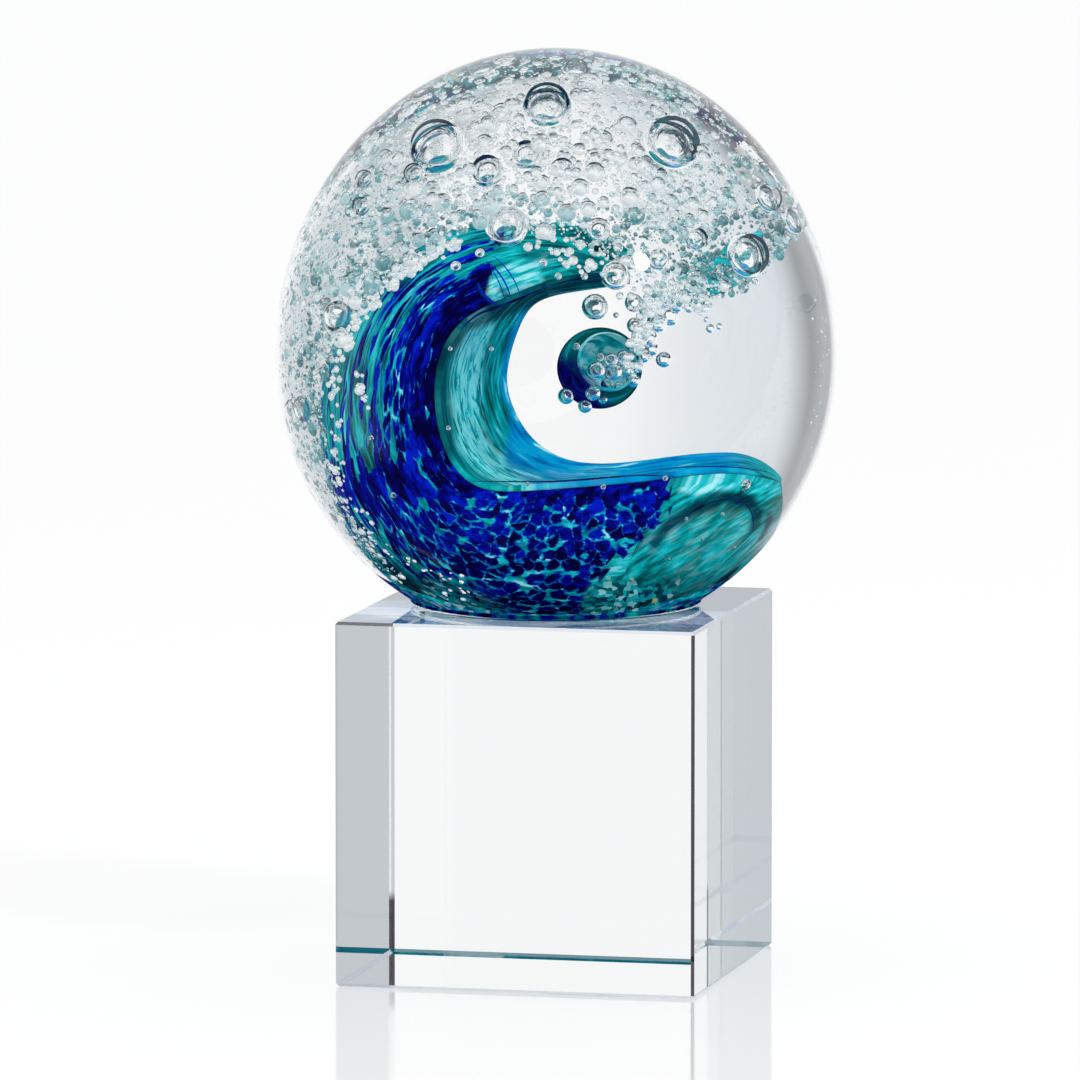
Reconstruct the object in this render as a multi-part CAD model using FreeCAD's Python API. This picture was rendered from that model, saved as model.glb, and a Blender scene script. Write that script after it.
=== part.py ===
"""Glass wave sculpture: a solid glass ball with a coloured glass wave inside, on a crystal cube.

The origin is the middle of the cube's underside, +Z is up and -Y is the front of the cube.
Each piece of glass is a solid of its own, written to its own STEP file.
"""

import FreeCAD, Part
import math
import os

# Crystal cube
cube_edge = 80.0
cube_bevel = 0.65

# Film of clear adhesive between cube and ball
bond_thickness = 0.1
bond_inset = 0.5

# Clear glass ball, slightly taller above its widest circle, with a ground flat foot
ball_radius = 61.4
crown_height = 67.3
belly_depth = 62.5
foot_rim_radius = 32.0
foot_rim_height = 1.6
foot_edge_width = 2.5
foot_flat_radius = foot_rim_radius - foot_edge_width

# How the wave is seen: its picture plane is turned from the cube's front and leans back,
# and the curved glass bends the view of everything inside
wave_yaw = 13.3
wave_lean = 6.9
glass_index = 1.5
view_distance = 2845.0

# Layers of the wave
lining_thickness = 1.2
rim_thickness = 1.7
clear_film = 0.15
barrel_belly = 2.4
front_shoulder = 5.0
back_shoulder = 3.0
azure_depth = -13.0

# Pool of colour over the foot
pool_edge_gap = 1.0
pool_height = 1.2
pool_gap = 1.6

# Drop of colour that the crest has thrown off, with one bubble in it
drop_radius = 6.7
drop_bubble_radius = 4.4

# Stations along the wave, from the nose of the swell at the right, under the barrel and up
# the left side, to the tip of the crest. Each row is across, up and toward the viewer from
# the ball's middle, across and toward in shares of its radius. Rim rows give where the rim
# is seen through the curved glass, with up in shares of the ball's height above or below its
# widest circle. Body rows give true places, with up below that circle in shares of the depth
# of the foot.
near_rim_shares = [
    (0.789, -0.438, 0.00),
    (0.682, -0.389, 0.12),
    (0.521, -0.393, 0.26),
    (0.343, -0.424, 0.36),
    (0.129, -0.444, 0.42),
    (-0.086, -0.460, 0.44),
    (-0.285, -0.472, 0.44),
    (-0.382, -0.354, 0.43),
    (-0.420, -0.176, 0.42),
    (-0.405, -0.010, 0.40),
    (-0.330, 0.102, 0.37),
    (-0.193, 0.156, 0.33),
    (-0.050, 0.214, 0.28),
    (0.111, 0.257, 0.22),
    (0.254, 0.261, 0.15),
]
far_rim_shares = [
    (0.807, -0.431, -0.06),
    (0.729, -0.334, -0.25),
    (0.575, -0.330, -0.34),
    (0.396, -0.351, -0.38),
    (0.200, -0.379, -0.40),
    (0.030, -0.368, -0.40),
    (-0.082, -0.295, -0.40),
    (-0.140, -0.210, -0.40),
    (-0.182, -0.105, -0.40),
    (-0.172, 0.000, -0.38),
    (-0.140, 0.095, -0.34),
    (-0.098, 0.175, -0.28),
    (-0.021, 0.212, -0.20),
    (0.129, 0.224, -0.08),
    (0.264, 0.238, 0.05),
]
front_body_shares = [
    (0.63, -0.424, 0.00),
    (0.71, -0.526, 0.06),
    (0.65, -0.693, 0.06),
    (0.44, -0.850, 0.06),
    (0.14, -0.927, 0.06),
    (-0.20, -0.906, 0.06),
    (-0.50, -0.737, 0.06),
    (-0.64, -0.447, 0.07),
    (-0.66, -0.134, 0.08),
    (-0.60, 0.073, 0.08),
    (-0.48, 0.210, 0.08),
    (-0.33, 0.301, 0.08),
    (-0.14, 0.338, 0.07),
    (0.05, 0.301, 0.07),
    (0.20, 0.228, 0.10),
]
back_body_shares = [
    (0.62, -0.424, -0.05),
    (0.60, -0.491, -0.22),
    (0.53, -0.593, -0.34),
    (0.35, -0.693, -0.40),
    (0.12, -0.716, -0.42),
    (-0.12, -0.693, -0.42),
    (-0.34, -0.570, -0.42),
    (-0.46, -0.380, -0.40),
    (-0.49, -0.134, -0.36),
    (-0.44, 0.064, -0.32),
    (-0.35, 0.192, -0.27),
    (-0.23, 0.265, -0.21),
    (-0.08, 0.283, -0.14),
    (0.07, 0.255, -0.05),
    (0.20, 0.210, 0.06),
]
depth_shares = [0.0, 0.25, 0.5, 0.75, 1.0]
fullness_shares = [0.12, 0.85, 1, 1, 1, 1, 1, 1, 1, 1, 1, 1, 1, 0.85, 0.12]

# The wave's outer layer is divided into four pours of colour. Each cut starts inside the
# barrel and runs out through the layer, given as across and up of two true places.
pour_cut_shares = [
    ((0.42, -0.134), (0.12, -0.950)),
    ((0.00, -0.111), (-0.56, -0.804)),
    ((0.02, -0.044), (-0.50, 0.383)),
]
pour_names = ["sea_swell", "sea_front", "wave_wall", "wave_crest"]
barrel_middle_share = (0.06, -0.111)

# Large air bubbles in the clear glass, as they are seen through it: across, up and toward
# the viewer as above, and radius in shares of the ball's radius
bubble_shares = [
    (0.407, 0.678, 0.30, 0.100),
    (-0.032, 0.798, 0.25, 0.085),
    (-0.418, 0.668, 0.20, 0.100),
    (-0.175, 0.414, 0.55, 0.078),
    (-0.243, 0.589, 0.45, 0.058),
    (-0.104, 0.642, 0.40, 0.052),
    (0.675, 0.319, 0.35, 0.080),
    (0.150, 0.401, 0.50, 0.042),
    (0.211, 0.255, 0.45, 0.052),
    (0.496, 0.371, 0.45, 0.042),
    (-0.907, -0.190, 0.00, 0.050),
    (-0.779, 0.124, 0.20, 0.064),
    (0.746, 0.505, 0.10, 0.054),
]
drop_share = (0.157, -0.042, 0.15)
drop_bubble_share = (0.182, -0.029, 0.17)


def rim_depth():
    """Depth of the foot's rim below the ball's widest circle."""
    return belly_depth * math.sqrt(1 - (foot_rim_radius / ball_radius) ** 2)


def seen_height(up):
    """The ball's own height on the side of its widest circle that a share lies on."""
    return crown_height if up > 0 else belly_depth


def seen_through_glass(across, up, toward):
    """The true place, in the picture plane's frame, of a point seen at these shares of the ball."""
    height = seen_height(up)
    level = up * height
    side = across * ball_radius
    depth = ball_radius * math.sqrt(1 - across**2 - up**2)
    normal = FreeCAD.Vector(side / ball_radius**2, level / height**2, depth / ball_radius**2)
    normal.normalize()
    ray = FreeCAD.Vector(side, level, -view_distance)
    ray.normalize()
    straight = -normal.dot(ray)
    bent = math.sqrt(1 - (1 - straight**2) / glass_index**2)
    inside = ray * (1 / glass_index) + normal * (straight / glass_index - bent)
    nearer = 1 - depth / view_distance
    entry = FreeCAD.Vector(side * nearer, level * nearer, depth)
    return entry + inside * ((toward * ball_radius - depth) / inside.z)


def true_place(across, up, toward):
    """The place of these shares, those below the widest circle following the depth of the foot."""
    height = crown_height if up > 0 else rim_depth() + foot_rim_height
    return FreeCAD.Vector(across * ball_radius, up * height, toward * ball_radius)


near_rim = [seen_through_glass(*row) for row in near_rim_shares]
far_rim = [seen_through_glass(*row) for row in far_rim_shares]
front_body = [true_place(*row) for row in front_body_shares]
back_body = [true_place(*row) for row in back_body_shares]
stations = range(len(near_rim))


def equator_height():
    """Height of the ball's widest circle, worked out from the foot that stands on the cube."""
    return cube_edge + bond_thickness + foot_rim_height + rim_depth()


def picture_frame():
    """The frame of the wave: X across the picture, Y up it and Z toward the viewer."""
    turn = FreeCAD.Rotation(FreeCAD.Vector(0, 0, 1), wave_yaw)
    stand = FreeCAD.Rotation(FreeCAD.Vector(1, 0, 0), 90 - wave_lean)
    return FreeCAD.Placement(FreeCAD.Vector(0, 0, equator_height()), turn * stand)


def outward(station):
    """Unit vector in the picture plane, square to the wave's run and away from the barrel."""
    before = near_rim[max(station - 1, 0)]
    after = near_rim[min(station + 1, len(near_rim) - 1)]
    run = after - before
    away = FreeCAD.Vector(-run.y, run.x, 0)
    return away.normalize()


def barrel_row(station, layer):
    """Control points across the barrel's wall, from near rim to far rim, a layer's depth outside it."""
    near, far = near_rim[station], far_rim[station]
    full = fullness_shares[station]
    row = []
    for share in depth_shares:
        belly = barrel_belly * math.sin(math.pi * share)
        row.append(near + (far - near) * share + outward(station) * (belly + layer) * full)
    return row


def body_row(station, layer):
    """Control points across the outside of the wave, from near rim to far rim."""
    near, far = near_rim[station], far_rim[station]
    full = fullness_shares[station]
    away = outward(station)
    viewer = FreeCAD.Vector(0, 0, 1)
    first = near + away * (layer + rim_thickness) * full
    last = far + away * (layer + rim_thickness) * full
    widest = first + (front_body[station] - first) * full
    behind = last + (back_body[station] - last) * full
    front = (first + widest) * 0.5 + (away + viewer).normalize() * front_shoulder * full
    back = (last + behind) * 0.5 + (away - viewer).normalize() * back_shoulder * full
    return [first, front, widest, behind, back, last]


def clamped(count, degree):
    """Knots and their multiplicities for a curve that starts and ends on its control points."""
    spans = count - degree
    return list(range(spans + 1)), [degree + 1] + [1] * (spans - 1) + [degree + 1]


def skin(rows):
    """Smooth surface over rows of control points, one row to a station."""
    degree = 3
    along, along_times = clamped(len(rows), degree)
    over, over_times = clamped(len(rows[0]), degree)
    surface = Part.BSplineSurface()
    surface.buildFromPolesMultsKnots(
        rows, along_times, over_times, along, over, False, False, degree, degree
    )
    return surface


def solid_between(inner, outer):
    """Closed solid between two skins, with ruled faces along their four borders."""
    in_start, in_end, in_near, in_far = inner.bounds()
    out_start, out_end, out_near, out_far = outer.bounds()
    borders = [
        (inner.uIso(in_start), outer.uIso(out_start)),
        (inner.uIso(in_end), outer.uIso(out_end)),
        (inner.vIso(in_near), outer.vIso(out_near)),
        (inner.vIso(in_far), outer.vIso(out_far)),
    ]
    faces = [inner.toShape(), outer.toShape()]
    for inner_edge, outer_edge in borders:
        faces.append(Part.makeRuledSurface(inner_edge.toShape(), outer_edge.toShape(), 1))
    sewn = Part.makeCompound(faces)
    sewn.sewShape()
    solid = Part.Solid(Part.Shell(sewn.Faces))
    if solid.Volume < 0:
        solid.reverse()
    return solid


def cut_sheet(start_share, end_share):
    """Thin sheet, as thick as a clear film, from a place inside the barrel out past the ball."""
    start = true_place(*start_share, 0)
    run = true_place(*end_share, 0) - start
    ball_width = 2 * ball_radius
    sheet = Part.makeBox(ball_width, clear_film, ball_width)
    sheet.translate(FreeCAD.Vector(0, -clear_film / 2, -ball_radius))
    turn = FreeCAD.Rotation(FreeCAD.Vector(1, 0, 0), run)
    sheet.Placement = FreeCAD.Placement(start, turn).multiply(sheet.Placement)
    return sheet


def order_along_wave(solid):
    """How far round the barrel a pour lies, clockwise from the right."""
    middle = true_place(*barrel_middle_share, 0)
    place = solid.CenterOfMass - middle
    return -math.atan2(place.y, place.x) % (2 * math.pi)


def make_barrel_skins():
    """The lining of the barrel and the azure glass behind it, as seen from the front."""
    inner = skin([barrel_row(station, 0) for station in stations])
    lined = skin([barrel_row(station, lining_thickness) for station in stations])
    whole = solid_between(inner, lined)
    ball_width = 2 * ball_radius
    film = Part.makeBox(ball_width, ball_width, clear_film)
    film.translate(FreeCAD.Vector(-ball_radius, -ball_radius, azure_depth))
    back, front = sorted(whole.cut(film).Solids, key=lambda solid: solid.CenterOfMass.z)
    return {"barrel_lining": front, "far_rim": back}


def make_pours():
    """The four pours of colour round the outside of the barrel."""
    under = lining_thickness + clear_film
    inner = skin([barrel_row(station, under) for station in stations])
    outer = skin([body_row(station, under) for station in stations])
    whole = solid_between(inner, outer)
    sheets = [cut_sheet(*row) for row in pour_cut_shares]
    pours = sorted(whole.cut(sheets).Solids, key=order_along_wave)
    return dict(zip(pour_names, pours))


def sphere_at(share, radius):
    return Part.makeSphere(radius, seen_through_glass(*share))


def make_drop():
    drop = sphere_at(drop_share, drop_radius)
    return drop.cut(sphere_at(drop_bubble_share, drop_bubble_radius))


def make_bubbles():
    """The air in the large bubbles, to be taken out of the clear glass."""
    bubbles = []
    for across, up, toward, seen_radius in bubble_shares:
        middle = seen_through_glass(across, up, toward)
        seen = math.hypot(across * ball_radius, up * seen_height(up))
        shrink = math.hypot(middle.x, middle.y) / seen
        bubbles.append(Part.makeSphere(seen_radius * ball_radius * shrink, middle))
    return bubbles


def ellipse_arc(across, up, height, start, end):
    """Arc of an ellipse about the ball's axis, between two angles measured from straight down."""
    half = (end - start) / 2
    poles = []
    for angle, reach in ((start, 1), (start + half, 1 / math.cos(half)), (end, 1)):
        side = across * math.sin(angle) * reach
        poles.append(FreeCAD.Vector(side, 0, height - up * math.cos(angle) * reach))
    arc = Part.BezierCurve()
    arc.setPoles(poles)
    arc.setWeight(2, math.cos(half))
    return arc


def turned(outline):
    """Solid of revolution about the ball's upright axis, from half its outline."""
    face = Part.Face(Part.Wire([curve.toShape() for curve in outline]))
    return face.revolve(FreeCAD.Vector(0, 0, 0), FreeCAD.Vector(0, 0, 1), 360)


def make_foot_pool(wave):
    """Low dome of colour over the foot, up to a named gap under the wave's lowest point."""
    bottom = cube_edge + bond_thickness + pool_height
    top = min(solid.BoundBox.ZMin for solid in wave) - pool_gap
    radius = foot_flat_radius - pool_edge_gap
    middle = FreeCAD.Vector(0, 0, bottom)
    edge = FreeCAD.Vector(radius, 0, bottom)
    level = math.pi / 2
    outline = [
        Part.LineSegment(FreeCAD.Vector(0, 0, top), middle),
        Part.LineSegment(middle, edge),
        ellipse_arc(radius, top - bottom, bottom, level, math.pi),
    ]
    return turned(outline)


def make_ball_blank():
    """The clear ball before anything is taken out of it."""
    height = equator_height()
    foot = cube_edge + bond_thickness
    level = math.pi / 2
    rim_angle = math.asin(foot_rim_radius / ball_radius)
    top = FreeCAD.Vector(0, 0, height + crown_height)
    foot_middle = FreeCAD.Vector(0, 0, foot)
    flat_edge = FreeCAD.Vector(foot_flat_radius, 0, foot)
    corner = FreeCAD.Vector(foot_rim_radius, 0, foot)
    rim = FreeCAD.Vector(foot_rim_radius, 0, foot + foot_rim_height)
    rounding = Part.BezierCurve()
    rounding.setPoles([flat_edge, corner, rim])
    outline = [
        Part.LineSegment(top, foot_middle),
        Part.LineSegment(foot_middle, flat_edge),
        rounding,
        ellipse_arc(ball_radius, belly_depth, height, rim_angle, level),
        ellipse_arc(ball_radius, crown_height, height, level, math.pi),
    ]
    return turned(outline)


def make_cube():
    """The crystal cube, with every edge and corner bevelled."""
    cube = Part.makeBox(cube_edge, cube_edge, cube_edge)
    cube.translate(FreeCAD.Vector(-cube_edge / 2, -cube_edge / 2, 0))
    return cube.makeChamfer(cube_bevel, cube.Edges)


def make_bond():
    """The film of adhesive under the ball's flat foot."""
    film = Part.makeCylinder(foot_flat_radius - bond_inset, bond_thickness)
    film.translate(FreeCAD.Vector(0, 0, cube_edge))
    return film


def write(name, shape):
    shape.exportStep(os.path.join("parts", name + ".step"))


def main():
    os.makedirs("parts", exist_ok=True)
    wave = {**make_barrel_skins(), **make_pours(), "curl_drop": make_drop()}
    air = make_bubbles() + [sphere_at(drop_share, drop_radius)]
    frame = picture_frame()
    for shape in [*wave.values(), *air]:
        shape.Placement = frame.multiply(shape.Placement)
    wave["foot_pool"] = make_foot_pool(list(wave.values()))
    for name, solid in wave.items():
        write(name, solid)
    write("orb_casing", make_ball_blank().cut([*wave.values(), *air]))
    write("base_cube", make_cube())
    write("bond_film", make_bond())


main()
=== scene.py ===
import math

import bmesh
import bpy
import numpy as np
from mathutils import Matrix, Vector


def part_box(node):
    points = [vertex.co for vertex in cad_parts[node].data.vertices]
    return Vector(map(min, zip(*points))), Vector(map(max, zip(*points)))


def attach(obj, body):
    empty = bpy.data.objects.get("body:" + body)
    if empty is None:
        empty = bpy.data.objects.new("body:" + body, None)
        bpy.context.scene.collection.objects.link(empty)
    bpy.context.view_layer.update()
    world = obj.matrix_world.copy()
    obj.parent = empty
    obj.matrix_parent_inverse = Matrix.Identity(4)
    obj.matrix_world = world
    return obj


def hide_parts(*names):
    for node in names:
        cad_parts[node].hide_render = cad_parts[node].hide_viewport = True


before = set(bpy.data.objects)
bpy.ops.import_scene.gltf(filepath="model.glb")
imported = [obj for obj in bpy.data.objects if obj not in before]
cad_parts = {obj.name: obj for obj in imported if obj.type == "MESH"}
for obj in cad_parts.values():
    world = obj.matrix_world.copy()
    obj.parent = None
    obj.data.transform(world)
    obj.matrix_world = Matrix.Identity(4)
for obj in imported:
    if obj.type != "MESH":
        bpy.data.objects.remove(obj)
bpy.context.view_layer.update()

MM = 0.001

# The glass ball and the cube, from the frame
ball_low, ball_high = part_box("orb_casing")
cube_low, cube_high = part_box("base_cube")
ball_radius = (ball_high.x - ball_low.x) / 2
crown_height = 67.3 * MM
belly_depth = 62.5 * MM
foot_rim_radius = 32.0 * MM
foot_rim_height = 1.6 * MM
foot_flat_radius = 29.5 * MM
foot_height = ball_low.z
equator_height = ball_high.z - crown_height
equator = np.array([0, 0, equator_height])
foot_depth = equator_height - foot_height
glass_index = 1.5
cube_index = 1.52
bond_index = 1.48

# Camera, and how the wave's picture plane stands
camera_yaw = math.radians(13.276)
camera_lean = math.radians(6.927)
wave_yaw = math.radians(13.3)
wave_lean = math.radians(6.9)
camera_distance = 2845.3 * MM
camera_side = -3.5 * MM
camera_aim_height = 94.3 * MM
camera_lens_mm = 432.7
camera_sensor_mm = 36

# Layers of the wave
lining_thickness = 1.2 * MM
rim_thickness = 1.7 * MM
clear_film = 0.15 * MM
cut_film = 0.01 * MM
barrel_belly = 2.4 * MM
front_shoulder = 5.0 * MM
back_shoulder = 3.0 * MM
azure_depth = -13.0 * MM

# Stations along the wave, as in the frame: across, up and toward the viewer, in thousandths of the ball
near_rim_shares = np.array([
    (789, -438, 0), (682, -389, 120), (521, -393, 260), (343, -424, 360), (129, -444, 420), (-86, -460, 440),
    (-285, -472, 440), (-382, -354, 430), (-420, -176, 420), (-405, -10, 400), (-330, 102, 370), (-193, 156, 330),
    (-50, 214, 280), (111, 257, 220), (254, 261, 150),
]) / 1000
far_rim_shares = np.array([
    (807, -431, -60), (729, -334, -250), (575, -330, -340), (396, -351, -380), (200, -379, -400), (30, -368, -400),
    (-82, -295, -400), (-140, -210, -400), (-182, -105, -400), (-172, 0, -380), (-140, 95, -340), (-98, 175, -280),
    (-21, 212, -200), (129, 224, -80), (264, 238, 50),
]) / 1000
front_body_shares = np.array([
    (630, -424, 0), (710, -526, 60), (650, -693, 60), (440, -850, 60), (140, -927, 60), (-200, -906, 60),
    (-500, -737, 60), (-640, -447, 70), (-660, -134, 80), (-600, 73, 80), (-480, 210, 80), (-330, 301, 80),
    (-140, 338, 70), (50, 301, 70), (200, 228, 100),
]) / 1000
back_body_shares = np.array([
    (620, -424, -50), (600, -491, -220), (530, -593, -340), (350, -693, -400), (120, -716, -420), (-120, -693, -420),
    (-340, -570, -420), (-460, -380, -400), (-490, -134, -360), (-440, 64, -320), (-350, 192, -270),
    (-230, 265, -210), (-80, 283, -140), (70, 255, -50), (200, 210, 60),
]) / 1000
depth_shares = np.array([0.0, 0.25, 0.5, 0.75, 1.0])
fullness_shares = np.array([0.12, 0.85, *[1] * 11, 0.85, 0.12])
# Cuts between the four pours, each from a place inside the barrel out through the layer
pour_cut_shares = [
    ((0.42, -0.134), (0.12, -0.950)), ((0.00, -0.111), (-0.56, -0.804)), ((0.02, -0.044), (-0.50, 0.383)),
]
pour_names = ["sea_swell", "sea_front", "wave_wall", "wave_crest"]
# Large air bubbles, as they are seen: across, up, toward the viewer and radius, in thousandths of the ball
bubble_shares = np.array([
    (407, 678, 300, 100), (-32, 798, 250, 85), (-418, 668, 200, 100), (-175, 414, 550, 78), (-243, 589, 450, 58),
    (-104, 642, 400, 52), (675, 319, 350, 80), (150, 401, 500, 42), (211, 255, 450, 52), (496, 371, 450, 42),
    (-907, -190, 0, 50), (-779, 124, 200, 64), (746, 505, 100, 54), (-264, 919, 100, 55), (179, 961, 50, 50),
    (71, 916, 150, 45), (-500, 580, 400, 40), (-686, 476, 300, 36), (-675, 564, 250, 36), (361, 306, 500, 40),
    (839, 433, 50, 50),
]) / 1000
# Painted dark reflections, drawn as crescents round the large bubbles: which bubble, from and to which angle,
# thickness in pixels, how far out
painted_bubble_arcs = [
    (0, 165, -60, 6.5, 1), (0, 125, -55, 3.5, 0.72), (1, 172, 5, 4.5, 1), (2, 178, 35, 4.5, 1), (4, 205, 10, 4, 1),
    (5, 190, 0, 3, 1), (6, 105, -75, 5, 1), (6, 80, -60, 2, 0.76), (7, 200, -10, 3, 1), (9, 95, -60, 2.8, 1),
    (12, 110, -60, 3.4, 1), (13, 205, 20, 6, 1), (14, 170, 5, 6, 1), (15, 170, 10, 4, 1), (16, 200, 60, 2.2, 1),
    (17, 200, 60, 2.2, 1), (18, 190, 60, 2.2, 1), (20, 100, -40, 2.6, 1),
]

# The drop that the crest has thrown off, which way it opens in the picture, and its hollow
drop_share = (0.157, -0.042, 0.15)
drop_opening = (0.34, 0.20, 0.92)
drop_dark_side = (-0.75, -0.62, 0.2)
drop_radius = 6.7 * MM
drop_hollow_radius = 5.5 * MM
drop_hollow_offset = 2.4 * MM
drop_lip_share = 0.93

# The picture: where the ball's middle is seen, and its radius across, above and below, in pixels
ball_pixel = np.array([554.0, 355.0])
radius_pixels = 280.0
crown_pixels = 306.9
belly_pixels = 285.0
pixel_size = 0.2193 * MM

# Places seen in the picture, in its pixels
cobalt_end = np.array([
    (676, 474), (668, 484), (666, 497), (661, 513), (652, 528), (636, 540), (621, 552), (609, 566), (597, 581),
    (586, 597), (583, 614), (583, 640),
])
cobalt_top = np.array([
    (444, 470), (441, 411), (439, 389), (442, 366), (448, 348), (459, 332), (474, 317), (492, 305), (500, 294),
])
crest_edge = np.array([(470, 314), (492, 306), (500, 292)])
crest_window = np.array([(484, 298), (488, 281), (502, 266), (546, 253), (533, 283), (512, 298), (497, 304)])
# The painted highlight band down the barrel's lining
lining_highlight_band = np.array([
    (476, 322), (466, 350), (462, 400), (468, 440), (486, 462), (518, 476), (560, 478), (610, 470),
])
swell_window = np.array([(676, 490), (690, 478), (728, 468), (748, 471), (742, 482), (716, 492), (690, 497)])
swell_slope = math.radians(32)
swell_wedge = np.array([(640, 482), (665, 466), (735, 462), (760, 466), (730, 470), (690, 478), (668, 490)])
swell_fold = np.array([(652, 545), (665, 528), (690, 509), (720, 497), (745, 500), (755, 512), (752, 530)])
swell_pale = np.array([(640, 548), (655, 532), (680, 520), (676, 534), (655, 552)])
left_corner = np.array([(378, 560), (396, 566), (414, 580), (430, 604), (408, 602), (388, 588)])
right_corner = np.array([(740, 562), (722, 568), (706, 584), (690, 606), (712, 600), (732, 582)])
crest_lip = np.array([(546, 287), (575, 289), (607, 297), (604, 305), (572, 300), (548, 296)])
crest_shadow = np.array([(520, 252), (560, 250), (600, 256), (604, 268), (560, 262), (524, 262)])
# Veils: depth in shares of the ball, and their lower and upper edges
veil_lines = [
    (0.02,
     [(398, 274), (440, 250), (500, 242), (560, 248), (610, 264), (655, 292)],
     [(386, 250), (430, 220), (490, 200), (560, 203), (622, 220), (672, 262)]),
    (0.1,
     [(672, 300), (700, 304), (742, 286), (772, 258)],
     [(664, 262), (692, 232), (728, 214), (764, 206)]),
]
# Threads of glass: thickness, how blue, and places with their depth in shares of the ball
threads = [
    (2.2, 0, [(459, 330, 0.4), (470, 317, 0.39), (484, 311, 0.38), (505, 304, 0.35), (523, 296, 0.32),
      (543, 288, 0.3)]),
    (1.3, 0, [(543, 288, 0.3), (560, 281, 0.28), (580, 277, 0.26), (603, 275, 0.23)]),
    (3.2, 0.6, [(476, 284, 0.42), (478, 294, 0.41), (485, 302, 0.4), (496, 305, 0.38)]),
    (1.4, 1, [(484, 262, 0.42), (496, 270, 0.41), (504, 282, 0.4), (509, 299, 0.37)]),
    (1.1, 1, [(492, 258, 0.42), (506, 268, 0.4), (514, 282, 0.39), (518, 296, 0.36)]),
    (0.9, 1, [(488, 268, 0.43), (494, 276, 0.42), (500, 288, 0.41), (503, 302, 0.38)]),
    (1.6, 0, [(470, 483, 0.45), (520, 484, 0.46), (560, 484, 0.46), (606, 479, 0.45), (646, 476, 0.41),
      (672, 478, 0.38)]),
    (1.5, 0, [(662, 534, 0.3), (690, 510, 0.28), (720, 498, 0.24), (742, 500, 0.2), (752, 514, 0.18),
      (750, 530, 0.18)]),
    (7, 0.5, [(470, 70, 0.15), (512, 59, 0.15), (556, 55, 0.15), (600, 59, 0.15), (640, 69, 0.15)]),
    (1, 0, [(658, 471, 0.36), (698, 466, 0.3), (735, 466, 0.22), (764, 472, 0.14)]),
]
# Rows of small bubbles: number, how far they stray, depth share, size, and places
bead_rows = [
    (150, 7, 0.5, 1, [(458, 245), (430, 256), (400, 275), (378, 292), (362, 312), (348, 334), (340, 352)]),
    (34, 6, 0.5, 1, [(338, 360), (334, 400), (333, 440), (338, 480)]),
    (14, 4, 0.58, 1, [(356, 372), (362, 400), (370, 420)]),
    (50, 11, 0.45, 0.65, [(330, 460), (345, 500), (362, 530), (392, 560)]),
    (26, 12, 0.5, 1, [(520, 248), (560, 258), (598, 268)]),
    (90, 11, 0.3, 1, [(628, 372), (636, 345), (640, 318), (655, 302), (680, 296)]),
    (40, 16, 0.34, 1, [(620, 300), (650, 290), (690, 300), (715, 305)]),
    (30, 6, 0.52, 0.55, [(405, 560), (440, 575), (470, 590), (420, 600)]),
    (60, 12, 0.1, 0.4, [(815, 290), (826, 360), (820, 430), (800, 500), (770, 556)]),
    (60, 12, 0.1, 0.4, [(288, 300), (284, 380), (292, 440), (318, 510), (350, 566)]),
]
# Bubbles seen apart: across, down, radius and depth share
lone_bubbles = np.array([
    (594, 371, 8, 0.3), (609, 360, 6, 0.3), (598, 357, 4, 0.3), (621, 357, 6, 0.28), (611, 372, 8, 0.27),
    (574, 346, 3.5, 0.3), (564, 397, 7, 0.26), (583, 407, 6, 0.24), (591, 394, 6.5, 0.26), (631, 381, 6, 0.2),
    (623, 370, 5, 0.24), (636, 367, 5, 0.2), (641, 355, 6.5, 0.2), (630, 345, 5.5, 0.24), (647, 338, 8, 0.2),
    (633, 325, 7, 0.26), (655, 322, 9, 0.22), (644, 311, 6, 0.28), (668, 315, 9, 0.2), (660, 300, 7, 0.28),
    (674, 303, 8, 0.24), (662, 359, 7, 0.18), (614, 315, 2.5, 0.3), (593, 307, 11, 0.34), (632, 303, 8, 0.3),
    (650, 348, 6, 0.16), (638, 336, 5, 0.14), (606, 385, 6, 0.22), (617, 388, 5, 0.2), (601, 400, 4, 0.22),
    (687, 307, 5, 0.24), (692, 298, 6, 0.26), (708, 328, 4, 0.2), (717, 326, 3, 0.2), (704, 319, 2.5, 0.2),
    (743, 486, 5.5, 0.28), (663, 480, 2.5, 0.44), (601, 489, 2.5, 0.5), (489, 350, 2, 0.5), (448, 350, 2, 0.5),
    (446, 430, 2.2, 0.5), (525, 486, 2, 0.5), (541, 264, 3.5, 0.44), (556, 277, 3, 0.42), (582, 277, 3, 0.4),
    (454, 268, 4.5, 0.5), (478, 255, 4, 0.52), (343, 474, 3, 0.5), (392, 497, 3, 0.6), (370, 440, 2.5, 0.6),
    (684, 520, 2, 0.36), (700, 540, 1.8, 0.36), (720, 515, 2, 0.32), (731, 548, 2.2, 0.3), (667, 560, 2, 0.4),
])
# The foam: its edge, and its kinds of bubble with their number, least and largest radius and fineness
foam_outline = np.array([
    (260, 355), (285, 440), (315, 500), (350, 558), (396, 590), (402, 575), (372, 545), (342, 505), (326, 450),
    (320, 400), (328, 362), (345, 330), (372, 298), (400, 268), (440, 244), (480, 226), (560, 244), (600, 262),
    (634, 288), (668, 312), (700, 306), (745, 292), (775, 262), (795, 236), (815, 200), (760, 90), (660, 40),
    (554, 30), (430, 50), (340, 110), (275, 220),
])
foam_kinds = [("foam_fine", 7600, 0.9, 2.2, 1), ("foam_small", 2500, 2.2, 5.0, 2), ("foam_round", 370, 5.0, 12.0, 3)]
foam_seed = 7
# Where the foam's painted glints are whitest and how far that reaches, and a line along which they are tinged with
# teal
foam_bright = np.array([530.0, 135.0, 140.0])
foam_teal = np.array([(425, 243), (500, 212), (570, 212), (640, 246), (700, 262), (762, 238)])

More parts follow.
